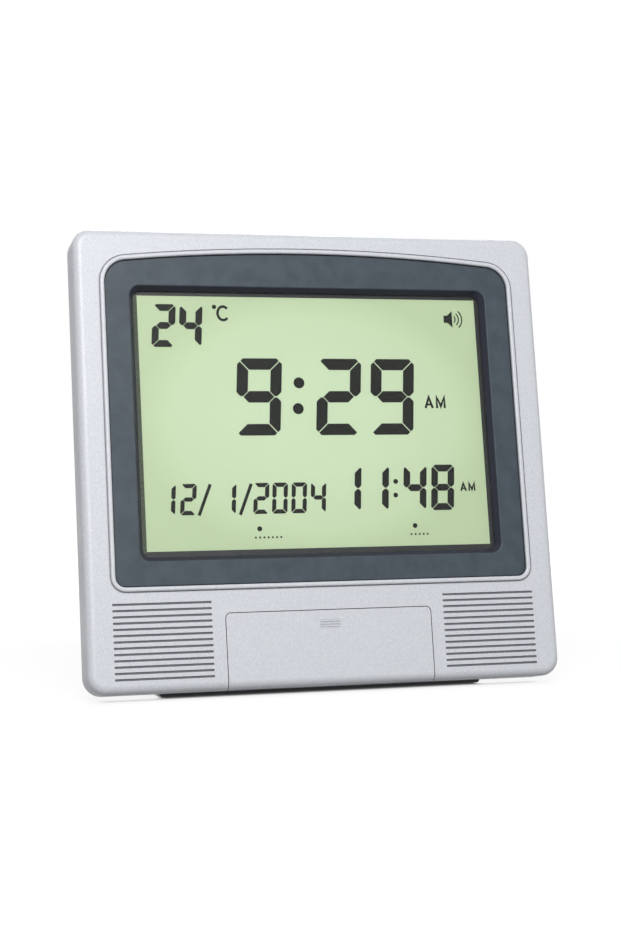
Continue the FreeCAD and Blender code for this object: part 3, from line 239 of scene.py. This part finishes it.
def cell_sleeve():
    """Foil sleeve shrunk on a zinc-carbon cell: plain blue with a silver band and an uneven shine."""
    finish = new_finish("shrunk_foil_cell_sleeve")
    spot = add(finish, "TexCoord").outputs["Object"]
    across = add(finish, "SeparateXYZ", {"Vector": spot})
    band = add(finish, "MapRange", {"Value": across.outputs["X"], "From Min": 0.037, "From Max": 0.095})
    sleeve = add(finish, "ValToRGB", {"Fac": band.outputs["Result"]},
                 stops=((0.0, "#1f4468"), (0.3, "#1f4468"), (0.32, "#b9bdc2"), (0.4, "#b9bdc2"),
                        (0.42, "#24507c")))
    sheen = add(finish, "TexNoise", {"Vector": spot, "Scale": per_metre(1.2), "Detail": 3.0})
    gloss = add(finish, "MapRange", {"Value": sheen.outputs["Fac"], "To Min": 0.2, "To Max": 0.4})
    surface = add(finish, "BsdfPrincipled", {"Base Color": sleeve.outputs["Color"], "Metallic": 0.5,
                                             "Roughness": gloss.outputs["Result"]})
    return close(finish, surface.outputs["BSDF"])


FINISHES = {
    "silver_case": silver_lacquer(),
    # Moulded blue-grey ABS with a fine spark-eroded texture: soft and dark with a dull sheen, with painted
    # shade, a matt dark navy, down the walls of the display recess
    "grey_bezel": moulded("spark_textured_blue_grey_abs", "#3a444d", "#434d56", 9, 0.5, 0.03, 0.42,
                          painted_recess_shade=("#30323d", 0.9, 1.3), IOR=1.53),
    "clear_window": clear_acrylic(),
    # Screen-printed black enamel ink, flat and slightly glossy under the window
    "black_print": moulded("screen_printed_black_ink", "#1d1f23", "#25272c", 14, 0.3, 0.004, 0.4, IOR=1.5),
    "display_glass": liquid_crystal_panel(),
    # Cast acrylic sheet frosted on its faces: milky and soft
    "light_guide": moulded("frosted_cast_acrylic", "#dfe9da", "#ecf3e8", 12, 0.4, 0.01, 0.4, IOR=1.49),
    # Injection-moulded natural ABS, off-white with a dull sheen
    "white_plastic": moulded("moulded_white_abs", "#d9d8d3", "#e4e3df", 12, 0.6, 0.01, 0.45, IOR=1.53),
    # Layered conducting silicone strip, pink with dark stripes too fine to see: drawn 0.8 mm wide
    "pink_rubber": moulded("layered_conducting_silicone", "#9c6868", "#cf9a98", 0.8, 0.4, 0.02, 0.6,
                           IOR=1.41),
    "circuit_board": circuit_board(),
    # Cast black epoxy with a matt, stony face
    "black_resin": moulded("cast_black_epoxy", "#141414", "#1f1f20", 2, 0.3, 0.01, 0.5, IOR=1.55),
    # Zinc-plated drawn steel: bright and a little cloudy
    "bright_steel": metal("zinc_plated_steel", "#a9abad", "#d0d2d3", 1.5, 0.28),
    # Plastic sleeve shrunk on an aluminium can, dark blue and glossy
    "capacitor_can": moulded("shrink_sleeved_aluminium_can", "#202638", "#2b3350", 3, 0.5, 0.01, 0.3,
                             IOR=1.5),
    # Steel blackened by oxide: dark with a satin shine
    "black_steel": metal("black_oxide_steel", "#1c1c1e", "#303033", 1.2, 0.42),
    # Moulded dark grey ABS with a coarse spark texture, as on hidden and handled parts
    "dark_tray": moulded("coarse_textured_dark_grey_abs", "#2e3237", "#393d43", 8, 0.7, 0.04, 0.5, IOR=1.53),
    # Pressed silicone rubber sheet, mid grey and matt
    "grey_rubber": moulded("pressed_grey_silicone", "#85878a", "#949698", 6, 0.5, 0.01, 0.7, IOR=1.41),
    # Moulded dark grey ABS back, with the spark-eroded grain that hides fingermarks
    "dark_case": moulded("spark_textured_dark_grey_abs", "#3a3e44", "#454a50", 16, 0.8, 0.05, 0.5, IOR=1.53),
    # Moulded black rubber with a little bloom on its face
    "black_rubber": moulded("moulded_black_rubber", "#191919", "#2a2a2b", 3, 0.5, 0.03, 0.75, IOR=1.52),
    "cell_wrap": cell_sleeve(),
    # Moulded light grey ABS keys, handled smooth
    "key_rubber": moulded("moulded_light_grey_abs", "#c0c3c8", "#cdd0d5", 4, 0.5, 0.01, 0.36, IOR=1.53),
    # Pressed paper pulp dyed black, with its fibres raised
    "speaker_paper": moulded("pressed_black_paper_pulp", "#18181a", "#2a2a2d", 1.5, 0.6, 0.08, 0.85, IOR=1.5),
    # Sintered ferrite, dark grey and chalky
    "magnet": moulded("sintered_ferrite", "#303033", "#404043", 2, 0.4, 0.02, 0.6, IOR=1.5),
}

# Dark crystal segments under glass: a blue-grey black with a soft gloss
DARK_CRYSTAL = moulded("dark_liquid_crystal", "#20262a", "#282e32", 6, 0.5, 0.002, 0.35,
                       Specular_IOR_Level=0.2)
# Woven polyester dust cloth behind the grilles: a fine grey weave, matt and soft
DUST_CLOTH = moulded("woven_polyester_dust_cloth", "#63666b", "#73767b", 0.8, 0.35, 0.05, 0.8,
                     crevice=0.3, IOR=1.5)
# Pad-printed dark grey ink on the keys, matt and slightly raised
KEY_INK = moulded("pad_printed_dark_ink", "#2b2e33", "#3a3e44", 1.5, 0.3, 0.006, 0.6, IOR=1.5)

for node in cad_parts.values():
    for part_slot in node.material_slots:
        part_slot.material = FINISHES[part_slot.material.name.split(".")[0]]


# Making pieces


def put_on(name, mesh, finish, body, smooth=None):
    """Turn finished millimetre geometry into a piece of the leaned clock that moves with one body."""
    bmesh.ops.remove_doubles(mesh, verts=mesh.verts, dist=0.0001)
    bmesh.ops.recalc_face_normals(mesh, faces=mesh.faces)
    mesh.transform(STANDING)
    data = bpy.data.meshes.new(name)
    mesh.to_mesh(data)
    mesh.free()
    data.materials.append(finish)
    piece = bpy.data.objects.new(name, data)
    bpy.context.scene.collection.objects.link(piece)
    if smooth is not None:
        data.shade_smooth()
        data.set_sharp_from_angle(angle=math.radians(smooth))
    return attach(piece, body)


def raise_plate(mesh, outline, front, back):
    """Raise an outline on the face, given as places across and up, into a thin plate between two depths."""
    rings = [[mesh.verts.new((across, deep, up)) for across, up in outline] for deep in (front, back)]
    mesh.faces.new(rings[0])
    mesh.faces.new(rings[1][::-1])
    for place, start in enumerate(rings[0]):
        after = (place + 1) % len(outline)
        mesh.faces.new((start, rings[1][place], rings[1][after], rings[0][after]))


def line_outline(points, width):
    """The outline of a line of even width through the given places, mitred where it turns."""
    spots = [Vector(point) for point in points]
    sides = ([], [])
    for place, spot in enumerate(spots):
        before = (spot - spots[max(place - 1, 0)]).normalized()
        after = (spots[min(place + 1, len(spots) - 1)] - spot).normalized()
        along = (before + after).normalized()
        lean_out = Vector((-along.y, along.x))
        reach = width/2/max(along.dot(after if after.length else before), 0.4)
        sides[0].append(spot + lean_out*reach)
        sides[1].append(spot - lean_out*reach)
    return [tuple(spot) for spot in sides[0] + sides[1][::-1]]


def disc_outline(centre, radius, steps=24):
    """The outline of a round dot."""
    turns = [2*math.pi*step/steps for step in range(steps)]
    return [(centre[0] + radius*math.cos(turn), centre[1] + radius*math.sin(turn)) for turn in turns]


def turn_up(mesh, profile, middle, along, steps=48):
    """Turn a profile of (distance along, radius) round an axis from a point. A zero radius closes it."""
    side = Vector((0, 0, 1)).cross(along).normalized()
    other = along.cross(side)
    rings = []
    for distance, radius in profile:
        centre = middle + along*distance
        turns = [2*math.pi*step/steps for step in range(steps if radius else 1)]
        rings.append([mesh.verts.new(centre + (side*math.cos(turn) + other*math.sin(turn))*radius)
                      for turn in turns])
    for near, far in zip(rings, rings[1:]):
        for step in range(steps):
            after = (step + 1) % steps
            corners = [near[step % len(near)], near[after % len(near)], far[after % len(far)],
                       far[step % len(far)]]
            mesh.faces.new(list(dict.fromkeys(corners)))


# Display marks: plates 0.1 mm thick on the front of the glass

MARK_FRONT = GLASS_FRONT - 0.1
MARK_BACK = GLASS_FRONT + 0.05
# The marks are seen at an angle through the window, so each is drawn this far over to show in its place
SIGHT = (-0.6, -0.3)

LIT = {"0": "abcdef", "1": "bc", "2": "abdeg", "4": "bcfg", "8": "abcdefg", "9": "abcdfg"}


def mark(mesh, outline):
    """Lay one display mark on the glass."""
    raise_plate(mesh, [(across + SIGHT[0], up + SIGHT[1]) for across, up in outline], MARK_FRONT, MARK_BACK)


def segment_outlines(width, height, stroke, gap):
    """The seven segments of one digit, with cut outer corners and slits along the mitres."""
    cut = stroke*0.5
    slit = gap/math.sqrt(2)
    middle = height/2
    tip = stroke*0.62
    half = stroke/2
    over = width - stroke
    bar = [(cut, height), (width - cut, height), (width - (cut + slit)/2, height - (cut - slit)/2),
           (over - slit, height - stroke), (stroke + slit, height - stroke),
           ((cut + slit)/2, height - (cut - slit)/2)]
    post = [(0, height - cut), ((cut - slit)/2, height - (cut + slit)/2), (stroke, height - stroke - slit),
            (stroke, middle + stroke - tip + slit*1.4), (tip - slit*0.4, middle + slit),
            (cut*0.7, middle + slit), (0, middle + slit + cut*0.7)]
    right_post = [(width - across, up) for across, up in post]
    return {"a": bar, "f": post, "b": right_post,
            "d": [(across, height - up) for across, up in bar],
            "e": [(across, height - up) for across, up in post],
            "c": [(across, height - up) for across, up in right_post],
            "g": [(tip, middle), (tip + half, middle + half), (width - tip - half, middle + half),
                  (width - tip, middle), (width - tip - half, middle - half), (tip + half, middle - half)]}


def row_of_digits(digits, foot, width, height, stroke, gap, slant):
    """One row of leaning seven-segment digits. Digits pair a figure with its lower left place across."""
    mesh = bmesh.new()
    outlines = segment_outlines(width, height, stroke, gap)
    for figure, left in digits:
        for segment in LIT[figure]:
            mark(mesh, [(left + across + slant*up/height, foot + up) for across, up in outlines[segment]])
    return mesh


def lay_marks(name, mesh):
    """Finish a group of display marks."""
    return put_on(name, mesh, DARK_CRYSTAL, "case")


def letters_am(mesh, left, foot, width, height, stroke):
    """The two letters that mark the morning half of a twelve-hour clock."""
    inset = stroke/2
    letter = width*0.44
    top = foot + height
    middle = left + letter/2
    peak = [(left + inset, foot), (middle, top - inset), (left + letter - inset, foot)]
    mark(mesh, line_outline(peak, stroke))
    bar = foot + height*0.3
    mark(mesh, line_outline([(left + letter*0.27, bar), (left + letter*0.73, bar)], stroke*0.8))
    start = left + width*0.54
    end = left + width
    valley = ((start + end)/2, foot + height*0.14)
    mark(mesh, line_outline([(start + inset, foot), (start + inset, top - inset), valley,
                             (end - inset, top - inset), (end - inset, foot)], stroke))


def temperature_marks():
    """Room temperature: two digits, a round degree sign and its letter."""
    mesh = row_of_digits((("2", -98.7), ("4", -82.3)), 205.2, 14.0, 26.2, 4.2, 0.4, 1.95)
    mark(mesh, disc_outline((-59.4, 230.1), 1.35, 12))
    bow = [(-54.0 + 3.4*math.cos(turn), 226.2 + 4.2*math.sin(turn))
           for turn in [math.radians(42 + 276*step/20) for step in range(21)]]
    mark(mesh, line_outline(bow, 1.6))
    lay_marks("temperature_marks", mesh)


def time_marks():
    """The time in large digits, its two dots and its half-of-day mark."""
    mesh = row_of_digits((("9", -50.1), ("2", 0.1), ("9", 34.3)), 151.4, 27.9, 47.2, 7.0, 0.6, 3.5)
    for centre in ((-8.9, 183.6), (-10.2, 167.7)):
        mark(mesh, disc_outline(centre, 3.4, 32))
    letters_am(mesh, 70.6, 167.9, 14.0, 7.5, 1.5)
    lay_marks("time_marks", mesh)


def date_marks():
    """The date in thin digits with two slashes."""
    digits = (("1", -98.3), ("2", -85.8), ("1", -61.7), ("2", -41.5), ("0", -30.0), ("0", -18.1), ("4", -6.1))
    mesh = row_of_digits(digits, 104.1, 9.5, 18.6, 2.55, 0.35, 1.4)
    for left in (-74.4, -49.4):
        mark(mesh, line_outline([(left, 103.7), (left + 7.6, 122.3)], 1.9))
    lay_marks("date_marks", mesh)


def next_call_marks():
    """The next call's time in middle-sized digits, with its dots and its half-of-day mark."""
    mesh = row_of_digits((("1", 10.75), ("1", 28.35), ("4", 52.6), ("8", 70.6)),
                         104.4, 14.85, 28.1, 4.25, 0.42, 2.1)
    for centre in ((48.9, 122.5), (48.4, 114.1)):
        mark(mesh, disc_outline(centre, 1.5))
    letters_am(mesh, 90.4, 116.1, 10.0, 5.2, 1.15)
    lay_marks("next_call_marks", mesh)


def small_marks():
    """A plain loudspeaker sign, and rows of dots for the day and for the call."""
    mesh = bmesh.new()
    mark(mesh, [(87.0, 221.9), (89.4, 221.9), (92.6, 219.0), (92.6, 229.4), (89.4, 226.5), (87.0, 226.5)])
    for radius in (2.6, 4.8, 7.0):
        bow = [(92.0 + radius*math.cos(turn), 224.2 + radius*math.sin(turn))
               for turn in [math.radians(-48 + 96*step/10) for step in range(11)]]
        mark(mesh, line_outline(bow, 0.75))
    for middle, count, chosen in ((-32.8, 7, 1), (62.2, 5, 1)):
        for step in range(count):
            across = middle + (step - (count - 1)/2)*2.6
            if step == chosen:
                mark(mesh, disc_outline((across, 95.2), 1.5))
            mark(mesh, disc_outline((across, 90.0), 0.62, 12))
    lay_marks("small_marks", mesh)


temperature_marks()
time_marks()
date_marks()
next_call_marks()
small_marks()


# Cloth in the grilles

SLOT_COUNT = 13
SLOT_LOW = 8.95
SLOT_PITCH = 3.58
CLOTH_INNER = 71.35
CLOTH_OUTER = 129.65
CLOTH_HALF = 0.6
CLOTH_FRONT = 0.55
CLOTH_BACK = 0.75


def dust_cloth():
    """The cloth that shows in the slots of both grilles, a strip in each slot."""
    for name, side in (("dust_cloth_left", -1), ("dust_cloth_right", 1)):
        inner = side*CLOTH_INNER
        outer = side*CLOTH_OUTER
        mesh = bmesh.new()
        for row in range(SLOT_COUNT):
            up = SLOT_LOW + SLOT_PITCH*row
            low = up - CLOTH_HALF
            high = up + CLOTH_HALF
            raise_plate(mesh, [(inner, low), (outer, low), (outer, high), (inner, high)],
                        CLOTH_FRONT, CLOTH_BACK)
        put_on(name, mesh, DUST_CLOTH, "case")


dust_cloth()


# Back of the clock


def cross_head_screws():
    """Six pan-head screws with a cross drive, in place of their plain heads."""
    mesh = bmesh.new()
    head_radius = 2.9
    head_height = 1.8
    seat = 24.4
    rings = 16
    steps = 64
    arm = 0.42
    drive_reach = 1.75
    drive_depth = 1.15

    def height_at(across, up):
        """How far the head stands off its seat at one place on it."""
        distance = math.hypot(across, up)
        dome = head_height*math.sqrt(max(0.0, 1 - 0.55*(distance/head_radius)**3))
        off_arm = min(abs(across), abs(up))
        wall = min(max((arm + 0.1 - off_arm)/0.2, 0.0), 1.0)
        end = min(max((drive_reach - distance)/0.5, 0.0), 1.0)
        return dome - drive_depth*wall*end

    for across, up in [(side*135.0, height) for side in (-1, 1) for height in (11.0, 140.0, 264.0)]:
        middle = mesh.verts.new((across, seat + height_at(0, 0), up))
        last = None
        for ring in range(1, rings + 1):
            radius = head_radius*ring/rings
            verts = []
            for step in range(steps):
                turn = 2*math.pi*step/steps
                off = (radius*math.cos(turn), radius*math.sin(turn))
                verts.append(mesh.verts.new((across + off[0], seat + height_at(*off), up + off[1])))
            for step in range(steps):
                after = (step + 1) % steps
                if last:
                    mesh.faces.new((last[step], last[after], verts[after], verts[step]))
                else:
                    mesh.faces.new((middle, verts[after], verts[step]))
            last = verts
        foot = [mesh.verts.new((vert.co.x, seat - 0.2, vert.co.z)) for vert in last]
        for step in range(steps):
            after = (step + 1) % steps
            mesh.faces.new((last[step], last[after], foot[after], foot[step]))
        mesh.faces.new(foot)
    piece = put_on("case_screw_heads", mesh, FINISHES["black_steel"], "case", smooth=35)
    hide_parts("case_screws")


POLE_LENGTH = 1.2


def battery_cells():
    """Four cells with rolled shoulders and stepped poles, in place of their plain cans."""
    for number in range(1, 5):
        name = "battery_%d" % number
        low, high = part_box(name)
        middle = UPRIGHT @ ((low + high)/2)
        length = (high.x - low.x)/MILLIMETRE
        radius = (high.z - low.z)/MILLIMETRE/2
        forward = 1 if number % 2 else -1
        start = Vector((middle.x - forward*length/2, middle.y, middle.z))
        can = length - POLE_LENGTH
        profile = [(0, 0), (0, radius - 1.4), (0.1, radius - 0.8), (0.5, radius - 0.15), (1.1, radius),
                   (can - 1.1, radius), (can - 0.5, radius - 0.15), (can - 0.1, radius - 0.8),
                   (can, radius - 1.5), (can - 0.25, radius - 1.9), (can - 0.25, 3.3), (can, 2.9),
                   (length - 0.3, 2.75),
                   (length, 2.4), (length, 0)]
        mesh = bmesh.new()
        turn_up(mesh, profile, start, Vector((forward, 0, 0)))
        piece = put_on("cell_%d" % number, mesh, FINISHES["cell_wrap"], "case", smooth=40)
        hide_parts(name)


def coil_springs():
    """Four conical coil springs of drawn wire, in place of their plain cones."""
    wire = 0.35
    turns = 5
    around = 8
    steps = 24*turns
    mesh = bmesh.new()
    for place in range(4):
        low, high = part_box("battery_%d" % (place + 1))
        middle = UPRIGHT @ ((low + high)/2)
        wide_end, narrow_end = (37.0, 44.2) if place % 2 == 0 else (95.2, 88.0)
        rings = []
        for step in range(steps + 1):
            share = step/steps
            turn = 2*math.pi*turns*share
            rise = min(max((share - 0.12)/0.76, 0.0), 1.0)
            radius = 3.85 - 1.65*share
            out = Vector((0, math.cos(turn), math.sin(turn)))
            inward = 1 if narrow_end > wide_end else -1
            across = wide_end + inward*wire + (narrow_end - wide_end - 2*inward*wire)*rise
            centre = Vector((across, middle.y, middle.z)) + out*radius
            ring = []
            for side in range(around):
                angle = 2*math.pi*side/around
                off = Vector((wire*math.sin(angle), 0, 0))
                ring.append(mesh.verts.new(centre + out*wire*math.cos(angle) + off))
            rings.append(ring)
        for near, far in zip(rings, rings[1:]):
            for side in range(around):
                after = (side + 1) % around
                mesh.faces.new((near[side], near[after], far[after], far[side]))
        mesh.faces.new(rings[0])
        mesh.faces.new(rings[-1][::-1])
    piece = put_on("coil_springs", mesh, FINISHES["bright_steel"], "case", smooth=60)
    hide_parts("battery_springs")


def cover_arrow():
    """Raised arrow that shows which way the battery cover slides."""
    mesh = bmesh.new()
    raise_plate(mesh, [(72.0, 71.6), (77.0, 65.9), (72.0, 60.2)], 49.9, 50.25)
    put_on("cover_arrow", mesh, FINISHES["dark_case"], "cover")


def key_signs():
    """A plain raised sign on each key behind the flap: arrows, plus, minus, dot and square."""
    signs = [
        [[(-1.7, -1.1), (1.7, -1.1), (0, 1.5)]],
        [[(-1.7, 1.1), (1.7, 1.1), (0, -1.5)]],
        [[(1.1, -1.6), (1.1, 1.6), (-1.6, 0)]],
        [[(-1.1, -1.6), (-1.1, 1.6), (1.6, 0)]],
        [[(-0.35, -1.6), (0.35, -1.6), (0.35, 1.6), (-0.35, 1.6)],
         [(-1.6, -0.35), (-0.35, -0.35), (-0.35, 0.35), (-1.6, 0.35)],
         [(0.35, -0.35), (1.6, -0.35), (1.6, 0.35), (0.35, 0.35)]],
        [[(-1.6, -0.35), (1.6, -0.35), (1.6, 0.35), (-1.6, 0.35)]],
        [disc_outline((0, 0), 1.4)],
        [[(-1.3, -1.3), (1.3, -1.3), (1.3, 1.3), (-1.3, 1.3)]],
    ]
    for number, shapes in enumerate(signs, start=1):
        low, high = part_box("key_%d" % number)
        middle = UPRIGHT @ ((low + high)/2)
        mesh = bmesh.new()
        for shape in shapes:
            raise_plate(mesh, [(middle.x + across, middle.z + up) for across, up in shape], 7.25, 7.5)
        put_on("key_sign_%d" % number, mesh, KEY_INK, "key_%d" % number)


cross_head_screws()
battery_cells()
coil_springs()
cover_arrow()
key_signs()


# Floor, light and camera


def seen_share(world_or_finish):
    """Whether a ray comes from the camera, a mirror-like surface or a clear one."""
    path = add(world_or_finish, "LightPath")
    first = add(world_or_finish, "Math", {0: path.outputs["Is Camera Ray"], 1: path.outputs["Is Glossy Ray"]},
                operation="MAXIMUM")
    return add(world_or_finish, "Math", {0: first.outputs["Value"], 1: path.outputs["Is Transmission Ray"]},
               operation="MAXIMUM").outputs["Value"]


def lay_floor():
    """Plain white paper that the clock stands on. It looks white, keeps the clock's soft shadow, and has a
    painted shadow, dimming its glow, only in the narrow gap under the case."""
    finish = new_finish("white_paper_floor")
    spot = add(finish, "TexCoord").outputs["Object"]
    fibres = add(finish, "TexNoise", {"Vector": spot, "Scale": per_metre(2), "Detail": 3.0})
    paper = add(finish, "ValToRGB", {"Fac": fibres.outputs["Fac"]},
                stops=((0.3, "#777777"), (0.7, "#7b7b7b")))
    plain = add(finish, "BsdfDiffuse", {"Color": linear("#8c8c8c")})
    # Painted shadow: an occlusion term dims the floor's glow in the gap under the case.
    gap = add(finish, "AmbientOcclusion", {"Distance": 0.005}, samples=16)
    open_share = add(finish, "MapRange", {"Value": gap.outputs["AO"], "From Min": 0.1, "From Max": 0.5,
                                          "To Min": 0.06, "To Max": 1.0})
    away = add(finish, "VectorMath", {0: spot}, operation="LENGTH")
    paleness = add(finish, "MapRange", {"Value": away.outputs["Value"], "From Min": 0.3, "From Max": 1.0,
                                        "To Min": 0.86, "To Max": 1.0})
    glow_and_painted_shade = add(finish, "Math", {0: open_share.outputs["Result"], 1: paleness.outputs["Result"]},
               operation="MULTIPLY")
    dim = add(finish, "BsdfDiffuse", {"Color": paper.outputs["Color"]})
    white = add(finish, "Emission", {"Color": linear("#ffffff"), "Strength": glow_and_painted_shade.outputs["Value"]})
    shown = add(finish, "AddShader", {0: dim.outputs["BSDF"], 1: white.outputs["Emission"]})
    both = add(finish, "MixShader", {"Fac": seen_share(finish), 1: plain.outputs["BSDF"],
                                     2: shown.outputs["Shader"]})
    close(finish, both.outputs["Shader"])
    reach = 6.0
    sheet = bpy.data.meshes.new("paper_floor")
    sheet.from_pydata([(-reach, -reach, 0), (reach, -reach, 0), (reach, reach, 0), (-reach, reach, 0)], [],
                      [(0, 1, 2, 3)])
    sheet.materials.append(finish)
    floor = bpy.data.objects.new("paper_floor", sheet)
    bpy.context.scene.collection.objects.link(floor)


LAMPS = (("window_lamp", (-0.45, -1.5, 1.05), 1.0, 28.0),
         ("side_lamp", (1.5, -0.6, 0.7), 0.8, 3.0),
         ("back_lamp", (0.3, 1.4, 1.3), 0.8, 9.0))


def light_the_room():
    """An even pale room, seen as white, a soft lamp in front and above, and weaker ones to the right
    and behind."""
    world = bpy.data.worlds.new("pale_room")
    bpy.context.scene.world = world
    world.use_nodes = True
    world.node_tree.nodes.clear()
    white = add(world, "Background", {"Color": linear("#ffffff"), "Strength": 1.0})
    soft = add(world, "Background", {"Color": linear("#ffffff"), "Strength": 0.2})
    room = add(world, "MixShader", {"Fac": seen_share(world), 1: soft.outputs["Background"],
                                    2: white.outputs["Background"]})
    add(world, "OutputWorld", {"Surface": room.outputs["Shader"]})
    aim = Vector((0, 0, 0.13))
    for name, place, size, power in LAMPS:
        lamp = bpy.data.lights.new(name, "AREA")
        lamp.size = size
        lamp.energy = power
        holder = bpy.data.objects.new(name, lamp)
        holder.location = place
        holder.rotation_euler = (aim - Vector(place)).to_track_quat("-Z", "Y").to_euler()
        bpy.context.scene.collection.objects.link(holder)


SENSOR_HEIGHT = 36.0
LENS_LENGTH = 70.07
VIEWPOINT = (-0.3074, -1.0623, 0.1352)
LOOK = (0.2773, 0.9608, 0)
CAMERA_ROLL = math.radians(-0.64)


def stand_camera():
    """The photograph's viewpoint: low, level, from the clock's left, and turned a hair clockwise."""
    lens = bpy.data.cameras.new("camera")
    lens.sensor_fit = "VERTICAL"
    lens.sensor_height = SENSOR_HEIGHT
    lens.lens = LENS_LENGTH
    lens.clip_start = 0.05
    lens.clip_end = 50.0
    camera = bpy.data.objects.new("camera", lens)
    look = Vector(LOOK).to_track_quat("-Z", "Y").to_matrix().to_4x4()
    camera.matrix_world = Matrix.Translation(VIEWPOINT) @ look @ Matrix.Rotation(CAMERA_ROLL, 4, "Z")
    bpy.context.scene.collection.objects.link(camera)
    bpy.context.scene.camera = camera


lay_floor()
light_the_room()
stand_camera()
bpy.context.scene.view_settings.view_transform = "Standard"
